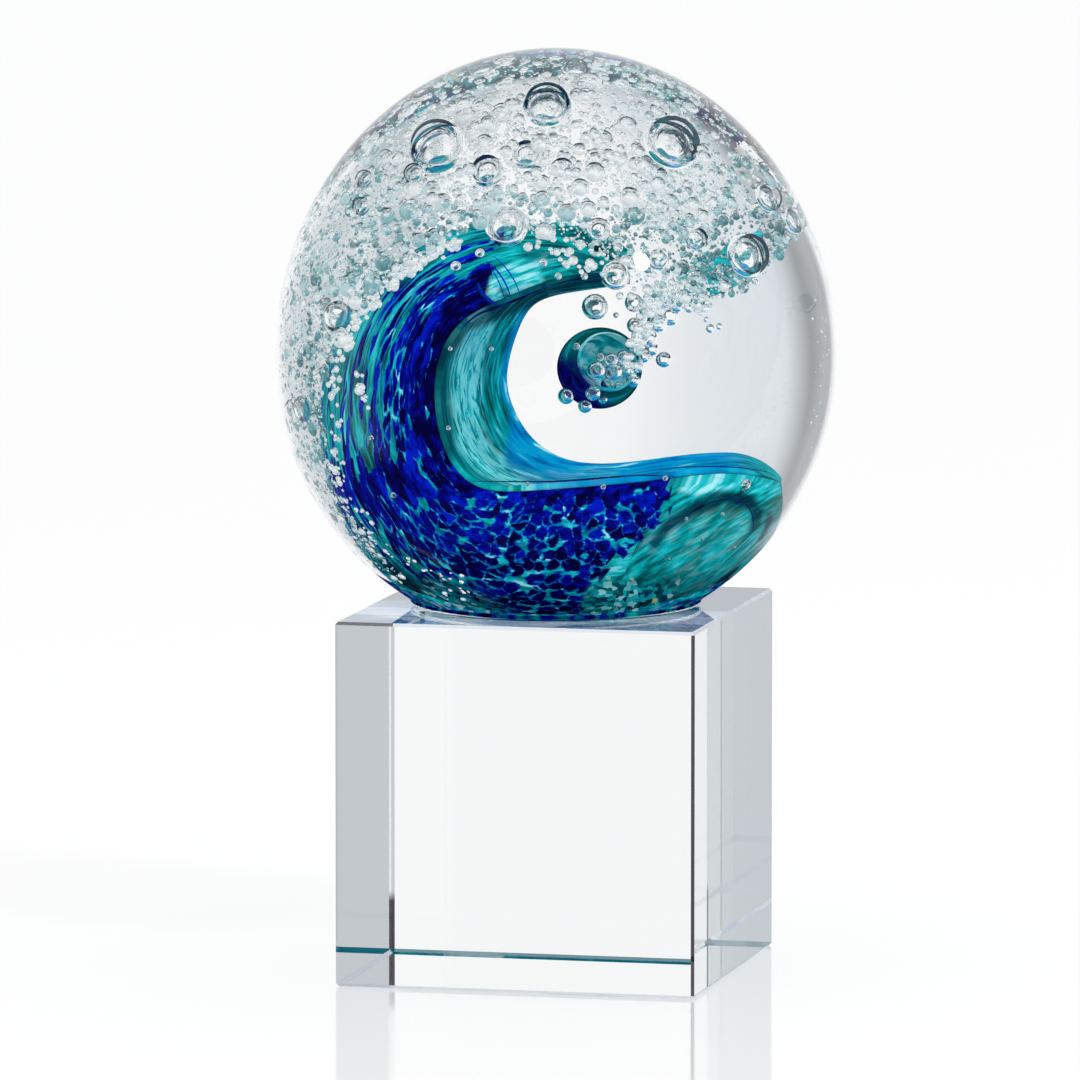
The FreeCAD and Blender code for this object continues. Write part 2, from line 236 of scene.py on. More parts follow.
# How close together the foam's candidates lie, and where the foam keeps to the front of the wave, in pixels
foam_candidates = 7
foam_front_top = 190
foam_front_right = 640
foam_front_depth = 0.48

# Fineness of the meshes and of the searches
wave_rows, pour_columns = 520, 170
lining_rows, lining_columns = 420, 80
veil_rows, veil_columns = 40, 120
ball_sides, arc_steps, rounding_steps = 256, 90, 7
cut_steps = 401
seen_steps = 30
drop_steps, drop_sides = 60, 64
pool_rings, pool_sides = 40, 128
thread_steps, thread_sides = 40, 8
painted_arc_steps, painted_arc_sides = 14, 6
wing_steps, wing_rows = 180, 14
most_faces = 190000
# How far out in the ball things are seen and may lie, in shares of it
furthest_seen = 0.985
furthest_bubble = 0.99
furthest_painted_arc = 0.97

# The dark glass that rises inside the foot, and the least radius in pixels of a small bubble with a painted dark arc
wing_low = 0.4 * MM
wing_high = 7.0 * MM
wing_depth = 0.6 * MM
wing_thickness = 0.4 * MM
least_painted_arc = 4.2

# Surroundings: brightness at degrees to the right of the line of sight, as clear glass and as bubbles see them
clear_surroundings = [
    (-180, 0.62), (-140, 0.92), (-105, 1), (-88, 0.95), (-73, 0.2), (-55, 0.26), (-43, 0.76), (-20, 0.86), (-7, 0.98),
    (12, 1), (21, 0.95), (25, 0.62), (29, 0.58), (36, 0.8), (48, 0.62), (66, 0.6), (80, 1), (180, 0.9),
]
bubble_surroundings = [
    (-180, 1), (-164, 1), (-157, 0.58), (-154.2, 0.6), (-153.8, 0.68), (-153.5, 0.62), (-153.2, 0.6), (-152.9, 0.69),
    (-152.6, 0.62), (-149, 0.66), (-142, 1), (21, 1), (24, 0.62), (29, 0.58), (33, 1), (70, 1), (95, 0.75), (120, 1),
    (180, 1),
]
cool_tint = np.array([0.95, 1.0, 1.045])
ceiling_grey = (0.05, 0.06, 0.09)
# Dark bands overhead, as bubbles see them: from and to which heights each begins and ends, and how dark
dark_bands = [((0.19, 0.24), (0.66, 0.62), 1.0), ((0.73, 0.77), (0.98, 0.95), 0.9)]
# How many turns light has taken when it sees what the bubbles see, and when the floor under the cube grows light
depth_of_bubbles = (3.2, 3.8)
depth_of_floor = (4.2, 4.8)
mirrored_dark = (0.03, 0.03, 0.04)

# The floor, and what glass sees of it under the cube: a glow of painted light, painted shadow and a painted blue
# reflection
floor_half_width = 20.0
floor_gap = 0.05 * MM
floor_white = (0.97, 0.97, 0.97)
under_painted_shadow = (0.05, 0.15, 0.29)
under_painted_light = (0.80, 0.84, 0.95)
under_blue_reflection = (0.10, 0.36, 0.72)
under_edge = 20 * MM
blue_reflection_side = 10 * MM
under_soft = 8 * MM

# The lamp, and where the ball mirrors it
highlight_share = (0.30, 0.27)
lamp_width = 0.17
lamp_distance = 1.5
lamp_power = 3.2

# The cube's edges, with painted shade and painted reflections: up to where the left one is dark, how far the front top
# one is dark, and their colours
dark_edge_height = 14 * MM
dark_top_end = -27 * MM
painted_edge_shade = (0.03, 0.02, 0.03)
pale_bevel_reflection = (0.72, 0.77, 0.84)
black_bevel_reflection = (0.03, 0.03, 0.04)
teal_bevel_reflection = (0.0, 0.16, 0.21)

# Colours of the glass
white = (1.0, 1.0, 1.0)
crystal_tint = (0.99, 0.995, 0.995)
bond_tint = (0.97, 0.98, 0.99)
navy = (0.0, 0.0, 0.040)
cobalt = (0.0, 0.002, 0.24)
blue = (0.0, 0.014, 0.62)
azure = (0.0, 0.27, 0.66)
sky = (0.01, 0.48, 0.78)
dark_teal = (0.0, 0.052, 0.058)
teal = (0.0, 0.16, 0.16)
turquoise = (0.0, 0.40, 0.44)
cyan = (0.02, 0.62, 0.71)
pale = (0.42, 0.93, 0.98)
# How much of each bubble's underside is the painted white glint
painted_glint_share = 0.70


# Frames of reference

def picture_axes(yaw, lean):
    """Across, up and toward the viewer, for a picture plane turned and leaning back."""
    across = (math.cos(yaw), math.sin(yaw), 0)
    up = (-math.sin(yaw) * math.sin(lean), math.cos(yaw) * math.sin(lean), math.cos(lean))
    toward = (math.sin(yaw) * math.cos(lean), -math.cos(yaw) * math.cos(lean), math.sin(lean))
    return np.array([across, up, toward])


wave_axes = picture_axes(wave_yaw, wave_lean)
camera_axes = picture_axes(camera_yaw, camera_lean)
camera_place = camera_axes[2] * camera_distance + camera_axes[0] * camera_side + np.array([0, 0, camera_aim_height])


def in_row(places):
    """Places in the wave's picture frame, in the row's frame."""
    return places @ wave_axes + equator


def unit(vectors):
    return vectors / np.linalg.norm(vectors, axis=-1, keepdims=True)


def between(number, low, high):
    """0 below low, 1 above high and smooth between, for arrays."""
    share = np.clip((number - low) / (high - low), 0, 1)
    return share * share * (3 - 2 * share)


def arc(angle, across=1.0, up=1.0):
    """Places across and up on a round or oval line, at angles from its lowest point."""
    return np.stack([across * np.sin(angle), -up * np.cos(angle)], -1)


def ball_scale(up, below=belly_depth):
    """The ball's half sizes, for places over or under its widest circle."""
    tall = np.where(up > 0, crown_height, below)
    wide = np.full(tall.shape, ball_radius)
    return np.stack([wide, tall, wide], -1)


def seen_through_glass(across, up, toward):
    """True places of what is seen through the glass at shares of the ball."""
    across, up, toward = np.broadcast_arrays(across, up, toward)
    scale = ball_scale(up)
    face = np.stack([across, up, np.sqrt(np.maximum(0, 1 - across**2 - up**2))], -1) * scale
    flat, depth = face[..., :2], face[..., 2:]
    normal = unit(face / scale**2)
    ray = unit(np.concatenate([flat, np.full(depth.shape, -camera_distance)], -1))
    straight = -(normal * ray).sum(-1, keepdims=True)
    bent = np.sqrt(1 - (1 - straight**2) / glass_index**2)
    inside = ray / glass_index + normal * (straight / glass_index - bent)
    entry = np.concatenate([flat * (1 - depth / camera_distance), depth], -1)
    return entry + inside * (toward[..., None] * ball_radius - depth) / inside[..., 2:]


def true_place(shares):
    """True places of shares of the ball, the lower ones following the foot."""
    return shares * ball_scale(shares[..., 1], foot_depth)


def seen_at(places):
    """Where true places are seen, as across and up shares of the ball."""
    toward = places[..., 2] / ball_radius
    seen = places[..., :2] / ball_radius
    for _ in range(seen_steps):
        reach = np.hypot(seen[..., 0], seen[..., 1])
        seen = seen * (np.minimum(reach, furthest_seen) / np.maximum(reach, 1e-9))[..., None]
        place = seen_through_glass(seen[..., 0], seen[..., 1], toward)
        seen = seen + (places[..., :2] - place[..., :2]) / ball_radius
    return seen


# The picture

def pixel_scale(above):
    """Pixels across and down for shares of the ball, above its widest circle or not."""
    tall = np.where(above, crown_pixels, belly_pixels)
    return np.stack([np.full(tall.shape, radius_pixels), -tall], -1)


def share_points(shares):
    """Points of the picture for across and up shares of the ball."""
    return ball_pixel + shares * pixel_scale(shares[..., 1] > 0)


def picture_shares(points):
    """Across and up shares of the ball for points of the picture."""
    off = np.asarray(points, float) - ball_pixel
    return off / pixel_scale(off[..., 1] < 0)


def picture_points(places):
    """Where true places are seen in the picture, in its pixels."""
    return share_points(seen_at(places))


def places_behind(points, toward):
    """True places of what is seen at points of the picture, at depths in shares."""
    return seen_through_glass(*np.moveaxis(picture_shares(points), -1, 0), toward)


def inside_outline(points, outline):
    """Whether points lie inside a closed outline."""
    inside = np.zeros(points.shape[:-1], bool)
    across, down = points[..., 0], points[..., 1]
    for (x1, y1), (x2, y2) in zip(outline, np.roll(outline, -1, 0)):
        crossing = (y1 > down) != (y2 > down)
        inside ^= crossing & (across < x1 + (down - y1) * (x2 - x1) / ((y2 - y1) or 1))
    return inside


def off_line(points, line):
    """How far points are from a line of straight runs."""
    nearest = np.full(points.shape[:-1], np.inf)
    for start, end in zip(line, line[1:]):
        run = (end - start).astype(float)
        share = np.clip((points - start) @ run / (run @ run), 0, 1)
        nearest = np.minimum(nearest, np.linalg.norm(points - start - share[..., None] * run, axis=-1))
    return nearest


def patch(points, outline, soft):
    """1 inside an outline and 0 outside it, softened over its edge."""
    ring = np.concatenate([outline, outline[:1]])
    inside = np.where(inside_outline(points, outline), 1, -1)
    return between(inside * off_line(points, ring), -soft, soft)


# The wave's skins

near_rim = seen_through_glass(*near_rim_shares.T)
far_rim = seen_through_glass(*far_rim_shares.T)
front_body = true_place(front_body_shares)
back_body = true_place(back_body_shares)


def outward():
    """At each station, the way square to the wave's run and away from the barrel."""
    run = np.concatenate([near_rim[1:], near_rim[-1:]]) - np.concatenate([near_rim[:1], near_rim[:-1]])
    return unit(np.stack([-run[:, 1], run[:, 0], np.zeros(len(run))], -1))


def barrel_net(layer):
    """Control points of the barrel's wall, a layer's depth outside it."""
    share = depth_shares[None, :, None]
    belly = barrel_belly * np.sin(math.pi * share)
    wall = near_rim[:, None] + (far_rim - near_rim)[:, None] * share
    return wall + outward()[:, None] * (belly + layer) * fullness_shares[:, None, None]


def body_net(layer):
    """Control points of the outside of the wave, from near rim to far rim."""
    full = fullness_shares[:, None]
    away = outward()
    viewer = np.array([0, 0, 1])
    first = near_rim + away * (layer + rim_thickness) * full
    last = far_rim + away * (layer + rim_thickness) * full
    widest = first + (front_body - first) * full
    behind = last + (back_body - last) * full
    front = (first + widest) / 2 + unit(away + viewer) * front_shoulder * full
    back = (last + behind) / 2 + unit(away - viewer) * back_shoulder * full
    return np.stack([first, front, widest, behind, back, last], 1)


def spline_weights(count, at):
    """Weights of the control points of a clamped cubic spline, at shares along it."""
    degree = 3
    spans = count - degree
    knots = np.concatenate([[0] * degree, np.arange(spans + 1), [spans] * degree])
    at = np.clip(at * spans, 0, spans - 1e-9)[:, None]
    weights = ((knots[:-1] <= at) & (at < knots[1:])).astype(float)
    for rise in range(1, degree + 1):
        left, right = knots[:-rise - 1], knots[rise + 1:]
        low = (at - left) / np.maximum(knots[rise:-1] - left, 1e-9)
        high = (right - at) / np.maximum(right - knots[1:-rise], 1e-9)
        weights = low * weights[:, :-1] + high * weights[:, 1:]
    return weights


def smooth_line(line, at):
    """Places along the smooth line of some control points."""
    return spline_weights(len(line), at) @ np.array(line, float)


def surface_at(net, along, over):
    """Places on the smooth surface over a net of control points."""
    first = spline_weights(len(net), along.ravel())
    second = spline_weights(net.shape[1], over.ravel())
    places = np.einsum("ni,nj,ijk->nk", first, second, net, optimize=True)
    return places.reshape(*along.shape, 3)


def cut_along(net, cut, offset, over):
    """For each share over the wave, the share along it where a cut crosses."""
    ends = true_place(np.array([[*place, 0] for place in cut]))[:, :2]
    run = unit(ends[1] - ends[0])
    along = np.linspace(0, 1, cut_steps)[:, None] + 0 * over[None]
    places = surface_at(net, along, over[None] + 0 * along)[..., :2] - ends[0]
    beyond = places @ np.array([-run[1], run[0]]) - offset
    ahead = places @ run > 0
    crossing = ((beyond[:-1] * beyond[1:] <= 0) & ahead[:-1]).argmax(0)
    column = np.arange(len(over))
    before, after = beyond[crossing, column], beyond[crossing + 1, column]
    return (crossing + before / (before - after)) / (cut_steps - 1)


def pour_range(net, number, over):
    """Where one pour starts and stops along the wave, for each share over it."""
    edges = []
    for cut, pick in ((number - 1, np.maximum), (number, np.minimum)):
        if 0 <= cut < len(pour_cut_shares):
            sides = [cut_along(net, pour_cut_shares[cut], side * cut_film / 2, over) for side in (-1, 1)]
            edges.append(pick(*sides))
        else:
            edges.append(np.full(len(over), float(cut >= 0)))
    return edges


def lengths(net):
    """Shares, and the distances along the middle of a surface and over it at each."""
    share = np.linspace(0, 1, cut_steps)
    middle = np.full(cut_steps, 0.5)
    tables = [share]
    for places in (surface_at(net, share, middle), surface_at(net, middle, share)):
        steps = np.linalg.norm(np.diff(places, axis=0), axis=-1)
        tables.append(np.concatenate([[0], np.cumsum(steps)]))
    return tables


# Meshes

def twice(values):
    """Values for the corners of two skins that lie one behind the other."""
    return np.concatenate([values, values])


def as_corners(*grids):
    return np.concatenate([grid.reshape(-1, 3) for grid in grids])


def block_faces(rows, columns):
    """Faces of the closed block between an outer and an inner grid."""
    number = np.arange(rows * columns).reshape(rows, columns)
    grid = [number[:-1, :-1], number[:-1, 1:], number[1:, 1:], number[1:, :-1]]
    outer = np.stack(grid, -1).reshape(-1, 4)
    edge = np.concatenate([number[0, :-1], number[:-1, -1], number[-1, :0:-1], number[:0:-1, 0]])
    ahead = np.roll(edge, -1)
    sides = np.stack([edge, edge + number.size, ahead + number.size, ahead], -1)
    return np.concatenate([outer, (outer + number.size)[:, ::-1], sides])


def ring_faces(number):
    """Faces between rows of corners that each run round in a ring."""
    ahead = np.roll(number, -1, -1)
    quads = [number[..., :-1, :], ahead[..., :-1, :], ahead[..., 1:, :], number[..., 1:, :]]
    return np.stack(quads, -1).reshape(-1, 4)


def turned_net(outline, sides):
    """Corners and faces of a closed outline turned about the upright axis."""
    inner = outline[1:-1]
    angle = np.linspace(0, 2 * math.pi, sides, endpoint=False)
    rings = inner[:, None, :1] * np.stack([np.cos(angle), np.sin(angle)], -1)
    height = np.repeat(inner[:, 1:], sides, 1)[..., None]
    ends = np.array([[0, 0, outline[0, 1]], [0, 0, outline[-1, 1]]])
    number = np.arange(len(inner) * sides).reshape(-1, sides)
    faces = ring_faces(number).tolist()
    foot, top = number.size, number.size + 1
    faces += [[foot, b, a] for a, b in zip(number[0], np.roll(number[0], -1))]
    faces += [[top, a, b] for a, b in zip(number[-1], np.roll(number[-1], -1))]
    return as_corners(np.concatenate([rings, height], -1), ends), faces


def tubes(places, side, front, radii, sides):
    """Corners and faces of closed tubes along rows of places, with cross axes and radii."""
    turn = np.linspace(0, 2 * math.pi, sides, endpoint=False)[:, None]
    ring = side[:, :, None] * np.cos(turn) + front[:, :, None] * np.sin(turn)
    corners = places[:, :, None] + ring * radii[..., None, None]
    number = np.arange(corners[..., 0].size).reshape(corners.shape[:3])
    faces = ring_faces(number).tolist() + number[:, 0, ::-1].tolist() + number[:, -1].tolist()
    return as_corners(corners), faces


def spheres(places, radii, level):
    """Corners and faces of many round bubbles, facing their air."""
    net = bmesh.new()
    bmesh.ops.create_icosphere(net, subdivisions=level, radius=1)
    corners = np.array([corner.co for corner in net.verts])
    faces = np.array([[corner.index for corner in face.verts] for face in net.faces])[:, ::-1]
    net.free()
    first = np.arange(len(places)) * len(corners)
    blown = places[:, None] + corners * radii[:, None, None]
    return blown.reshape(-1, 3), (first[:, None, None] + faces).reshape(-1, 3)


def make_object(name, corners, faces, material):
    """A smooth mesh in the row's frame."""
    mesh = bpy.data.meshes.new(name)
    mesh.from_pydata(corners.tolist(), [], faces.tolist() if isinstance(faces, np.ndarray) else faces)
    mesh.materials.append(material)
    mesh.shade_smooth()
    return in_scene(bpy.data.objects.new(name, mesh))


def in_scene(item):
    bpy.context.scene.collection.objects.link(item)
    return item


def make_piece(name, corners, faces, material, nodes=()):
    """A mesh that rides on the body and stands for CAD nodes."""
    piece = make_object(name, corners, faces, material)
    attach(piece, "root")
    if nodes:
        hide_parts(*nodes)
    return piece


def add_map(piece, name, values):
    """A UV map from two values for each corner of the mesh."""
    layers = piece.data.uv_layers
    layer = layers.get(name) or layers.new(name=name)
    corner_of = np.empty(len(piece.data.loops), int)
    piece.data.loops.foreach_get("vertex_index", corner_of)
    layer.uv.foreach_set("vector", values[corner_of].astype(np.float32).ravel())


def add_share(piece, name, values):
    """A value for each corner of the mesh."""
    layer = piece.data.attributes.new(name, "FLOAT", "POINT")
    layer.data.foreach_set("value", values.astype(np.float32))


def add_shares(piece, shares, most):
    for name, values in shares.items():
        add_share(piece, name, np.clip(values, 0, most))


# Materials

def maths(operation):
    """A way to bring a value and others together in a Math node."""
    return lambda self, *others: value(self.tree, "Math", dict(enumerate((self, *others))), operation=operation)


class Value:
    """What a node gives, with plain arithmetic for numbers."""

    __add__, __sub__, __mul__ = maths("ADD"), maths("SUBTRACT"), maths("MULTIPLY")
    __lt__, __gt__, __abs__ = maths("LESS_THAN"), maths("GREATER_THAN"), maths("ABSOLUTE")
    lowest, highest, scaled = maths("MINIMUM"), maths("MAXIMUM"), maths("MULTIPLY_ADD")
    angle_to = maths("ARCTAN2")

    def __init__(self, socket):
        self.socket = socket
        self.tree = socket.id_data

    def vector(self, operation, *inputs, key=0):
        return value(self.tree, "VectorMath", {0: self, **dict(inputs)}, key, operation=operation)

    def parts(self, kind="XYZ"):
        """The three parts of a place or a colour."""
        return [Value(part) for part in add(self.tree, "Separate" + kind, {0: self}).outputs]

    def rise(self, low, high):
        """0 below low, 1 above high, and smooth between."""
        return value(self.tree, "MapRange", {0: self, 1: low, 2: high}, interpolation_type="SMOOTHSTEP")

    def ramp(self, *stops):
        """A colour ramp through stops of position and colour."""
        made = add(self.tree, "ValToRGB", {0: self})
        elements = made.color_ramp.elements
        while len(elements) < len(stops):
            elements.new(0.5)
        for element, (position, colour) in zip(elements, stops):
            element.position = position
            element.color = (*colour, 1)
        return Value(made.outputs[0])

    def blend(self, first, second):
        """A colour that goes from the first to the second with this share."""
        return value(self.tree, "Mix", {0: self, 6: first, 7: second}, 2, data_type="RGBA")

    def mix(self, first, second):
        """A shader that goes from the first to the second with this share."""
        return value(self.tree, "MixShader", {0: self, 1: first, 2: second})


def add(tree, kind, inputs=(), **settings):
    """A new node, its inputs given as plain values or as those of other nodes."""
    made = tree.nodes.new("ShaderNode" + kind)
    for name, setting in settings.items():
        setattr(made, name, setting)
    for key, given in dict(inputs).items():
        if isinstance(given, Value):
            tree.links.new(given.socket, made.inputs[key])
        elif isinstance(given, tuple) and made.inputs[key].type == "RGBA":
            made.inputs[key].default_value = (*given[:3], 1)
        else:
            made.inputs[key].default_value = given
    return made


def value(tree, kind, inputs=(), key=0, **settings):
    """One output of a new node."""
    return Value(add(tree, kind, inputs, **settings).outputs[key])


def new_material(name):
    """A material with an empty tree."""
    material = bpy.data.materials.new(name)
    material.use_nodes = True
    material.node_tree.nodes.clear()
    return material, material.node_tree


def finished(material, shader):
    add(material.node_tree, "OutputMaterial", {"Surface": shader})
    return material


def coloured(material, colour, alpha=1.0):
    """Coloured glass, dense and without mirroring inside the clear glass."""
    inputs = {"Base Color": colour, "Roughness": 0.3, "Specular IOR Level": 0.0, "Alpha": alpha}
    return finished(material, value(material.node_tree, "BsdfPrincipled", inputs))


def share_of(tree, name):
    return value(tree, "Attribute", key="Fac", attribute_name=name)


def geometry(tree, name):
    return value(tree, "NewGeometry", key=name)


def of_ray(tree, name):
    return value(tree, "LightPath", key=name)


def bent_ray(tree):
    """1 for what is seen in glass or mirrored."""
    return of_ray(tree, "Is Glossy Ray").highest(of_ray(tree, "Is Transmission Ray"))


def clear_way(tree):
    return value(tree, "BsdfTransparent", {"Color": white})


def map_of(tree, name, across=1.0, over=1.0):
    """A UV map, stretched to a pattern's length and width."""
    return value(tree, "Mapping", {0: value(tree, "UVMap", uv_map=name), 3: (across, over, 1)})


def noise(tree, place, scale, detail, key=0):
    return value(tree, "TexNoise", {"Vector": place, "Scale": scale, "Detail": detail}, key)


def streaks(tree, long, wide, detail, seed):
    """Noise drawn out along the flow of the glass, its length and width in millimetres."""
    place = map_of(tree, "flow", 1 / (long * MM), 1 / (wide * MM)).vector("ADD", (1, (seed, seed, seed)))
    inputs = {"Vector": place, "Scale": 1.0, "Detail": detail, "Distortion": 0.7}
    return value(tree, "TexNoise", inputs, noise_dimensions="3D")


def teal_streaks(tree, seed, lift=0.0):
    """Teal glass with turquoise and pale streaks along its flow."""
    tone = streaks(tree, 9, 2, 4, seed) * 0.45 + streaks(tree, 5, 0.6, 5, seed + 3) * 0.30
    tone = tone + streaks(tree, 20, 6, 2, seed + 6) * 0.25 + lift
    return tone.ramp((0.40, dark_teal), (0.47, teal), (0.53, turquoise), (0.60, cyan), (0.69, pale))


def mosaic(tree):
    """Small sparkling cells of many tones, as at the ball's foot."""
    place = map_of(tree, "flow", 1 / (1.1 * MM), 1 / (0.8 * MM))
    moved = place.vector("ADD", (1, noise(tree, place, 1.3, 2.0, 1)))
    cells = {"Vector": moved, "Scale": 1.0, "Randomness": 1.0}
    chances = value(tree, "TexVoronoi", cells, "Color", voronoi_dimensions="2D", feature="F1").parts("Color")
    plain = chances[0].ramp((0.0, dark_teal), (0.22, (0.0, 0.03, 0.14)), (0.36, teal), (0.60, turquoise),
                            (0.84, cyan), (0.94, pale))
    glint = chances[2].ramp((0.0, (0.95, 0.85, 0.35)), (0.35, white), (0.8, (0.6, 0.95, 1.0)))
    return chances[1].rise(0.94, 0.95).blend(plain, glint)


def skin_glass(material, colour):
    """A skin's colour, lit and darkened where its shares say so."""
    tree = material.node_tree
    bright = streaks(tree, 6, 1.2, 4, 40).ramp((0.35, turquoise), (0.48, cyan), (0.62, pale))
    deep = streaks(tree, 5, 1, 3, 44).ramp((0.40, navy), (0.70, dark_teal))
    lit = share_of(tree, "light").blend(colour, bright)
    return coloured(material, share_of(tree, "dark").blend(lit, deep))


def frit_glass(name, seed):
    """Cobalt frit melted into cells over streaked teal glass, with light veins between."""
    material, tree = new_material(name)
    place = map_of(tree, "cells")
    wander = noise(tree, place, 0.8, 3.0, 1).vector("SUBTRACT", (1, (0.5, 0.5, 0.5)))
    warped = place.vector("ADD", (1, wander.vector("SCALE", (3, 1.3))))
    cells = {"Vector": warped, "Scale": 1.0, "Randomness": 0.95}
    edge = value(tree, "TexVoronoi", cells, voronoi_dimensions="2D", feature="DISTANCE_TO_EDGE")
    middle = add(tree, "TexVoronoi", cells, voronoi_dimensions="2D", feature="F1").outputs
    chances = Value(middle["Color"]).parts("Color")
    edge = edge.lowest(Value(middle["Distance"]).scaled(-1.0, 0.66))
    cover = share_of(tree, "cobalt")
    held = (cover - chances[0]).rise(-0.02, 0.02)
    closed = streaks(tree, 4.5, 1.6, 3, seed + 7) * 0.75 + streaks(tree, 1.1, 0.6, 2, seed + 9) * 0.30
    closed = closed + share_of(tree, "dense") * 0.20
    gap = edge + (closed - 0.50)
    cell = held * gap.rise(-0.04, 0.05)
    tone = streaks(tree, 3.5, 1.3, 4, seed + 11) * 0.6 + chances[1] * 0.22 - share_of(tree, "deep") * 0.10
    deep = tone.ramp((0.30, navy), (0.42, cobalt), (0.56, blue))
    deep = gap.rise(0.14, 0.03).blend(deep, (0.0, 0.07, 0.55))
    veins = streaks(tree, 5, 1.6, 3, seed + 17).ramp((0.36, teal), (0.49, turquoise), (0.59, cyan), (0.70, pale))
    base = (cover * gap.rise(0.10, 0.0)).blend(teal_streaks(tree, seed), veins)
    stripes = streaks(tree, 16, 1.3, 3, seed + 23).rise(0.60, 0.64) * share_of(tree, "stripes")
    colour = stripes.blend(cell.blend(base, deep), cobalt)
    return skin_glass(material, share_of(tree, "mosaic").blend(colour, mosaic(tree)))


def lining_glass(name, seed):
    """Turquoise streaks with a painted highlight band of white ones, turning azure toward the far rim."""
    material, tree = new_material(name)
    fleck = streaks(tree, 3.4, 1.7, 5, seed + 5)
    bright = fleck.ramp((0.36, teal), (0.41, turquoise), (0.46, (0.01, 0.80, 0.90)), (0.52, (0.30, 0.98, 1.0)))
    lit = (share_of(tree, "painted_highlight") * fleck.rise(0.36, 0.50)).blend(teal_streaks(tree, seed, 0.015), bright)
    far = streaks(tree, 8, 2.5, 4, seed + 9).ramp(
        (0.34, (0.0, 0.15, 0.45)), (0.45, azure), (0.55, (0.0, 0.38, 0.74)), (0.62, sky), (0.70, pale))
    return skin_glass(material, share_of(tree, "azure").blend(lit, far))


def thread_glass():
    """Dark blue threads with lighter places."""
    material, tree = new_material("navy_threads")
    dark = noise(tree, geometry(tree, "Position"), 400.0, 3.0).ramp(
        (0.40, navy), (0.58, (0.0, 0.02, 0.16)), (0.75, dark_teal))
    return coloured(material, share_of(tree, "blue").blend(dark, (0.0, 0.03, 0.50)))


def painted_arc_shade():
    """Near-black with teal places: painted dark reflections round the bubbles."""
    material, tree = new_material("painted_arc_shade")
    return coloured(material, noise(tree, geometry(tree, "Position"), 260.0, 3.0).ramp(
        (0.40, (0.005, 0.02, 0.06)), (0.52, (0.02, 0.05, 0.07)), (0.64, (0.01, 0.13, 0.17))))


def pool_glass():
    """The foot's glass: navy at its edge, teal and cobalt cells within."""
    material, tree = new_material("foot_mosaic")
    rim = streaks(tree, 6, 2, 3, 91).ramp((0.40, navy), (0.50, cobalt), (0.58, teal), (0.66, turquoise))
    return coloured(material, share_of(tree, "deep").blend(mosaic(tree), rim))


def drop_glass():
    """Teal streaks round the drop, navy low on its left and pale in its hollow."""
    material, tree = new_material("drop_streaks")
    within = streaks(tree, 6, 1.5, 4, 64).ramp((0.29, teal), (0.39, turquoise), (0.47, cyan), (0.56, pale))
    outside = share_of(tree, "lip").blend(teal_streaks(tree, 61), dark_teal)
    tone = streaks(tree, 4, 1, 3, 67).ramp((0.35, navy), (0.60, cobalt), (0.75, dark_teal))
    colour = share_of(tree, "hollow").blend(outside, within)
    return coloured(material, share_of(tree, "dark").blend(colour, tone))


def veil_glass():
    """Teal glass torn to shreds where it is thin."""
    material, tree = new_material("teal_veil")
    solid = (share_of(tree, "solid") - streaks(tree, 3, 1.6, 5, 87)).rise(-0.03, 0.05)
    return coloured(material, teal_streaks(tree, 83, 0.03), solid)


def clear_glass(name, index, tint, finish=None):
    """Clear glass, finished in its own way, that casts no shadow on what it holds."""
    material, tree = new_material(name)

    def glass(colour=tint, kind="BsdfGlass"):
        return value(tree, kind, {"Color": colour, "Roughness": 0.0, "IOR": index})

    shader = finish(tree, glass) if finish else glass()
    soft = of_ray(tree, "Is Shadow Ray").highest(of_ray(tree, "Is Diffuse Ray"))
    return finished(material, soft.mix(shader, clear_way(tree)))


def bare_foot(tree, glass):
    """The ball's finish: its glass mirrors nothing near the foot."""
    height = geometry(tree, "Position").parts()[2]
    share = height.rise(foot_height + 20 * MM, foot_height + 10 * MM)
    return share.mix(glass(), glass(kind="BsdfRefraction"))


def froth_painted_glints(tree, glass):
    """The foam's finish: a painted glint, white to teal by the tone of each bubble, on its underside."""
    tone = share_of(tree, "tone").ramp((0.0, (0.0, 0.13, 0.15)), (0.22, (0.10, 0.40, 0.43)),
                                       (0.50, (0.62, 0.82, 0.86)), (0.72, (0.95, 0.99, 1.0)))
    share = geometry(tree, "Normal").parts()[2].rise(0.5, 0.0) * painted_glint_share
    return share.mix(glass(), value(tree, "BsdfDiffuse", {"Color": tone}))


def painted_edge_reflections(tree, glass):
    """The cube's finish: painted shade on upright edges at the right and low at the left, and painted reflections on
    level ones.
    """
    facing, place = geometry(tree, "True Normal").parts(), geometry(tree, "Position").parts()
    upright = (abs(facing[0]) * abs(facing[1])).rise(0.3, 0.45)
    front_right = (place[0] > 0.0) * (place[1] < 0.0)
    back_left = (place[0] < 0.0) * (place[1] > 0.0)
    low = back_left * place[2].rise(dark_edge_height, dark_edge_height - 3 * MM)
    dark = (front_right + low) * 0.80 + 0.12
    # Painted shade: the upright edges' glass is tinted dark
    tint = (upright * dark).blend(crystal_tint, painted_edge_shade)
    slope = abs(facing[2]).scaled(-1.0, 1.0)
    level = slope.rise(0.15, 0.2) * slope.rise(0.6, 0.5)
    front_top = place[1].rise(-38 * MM, -39 * MM) * (place[0] < dark_top_end) * place[2].rise(70 * MM, 75 * MM)
    back_foot = place[1].rise(36 * MM, 38 * MM) * place[2].rise(6 * MM, 4 * MM)
    # Painted reflections on the level bevels: pale, black at the front top, and the wave's teal at the back foot
    bevel_reflections = back_foot.blend(front_top.blend(pale_bevel_reflection, black_bevel_reflection), teal_bevel_reflection)
    return (level * 0.75).mix(glass(tint), value(tree, "BsdfDiffuse", {"Color": bevel_reflections}))


# The wave

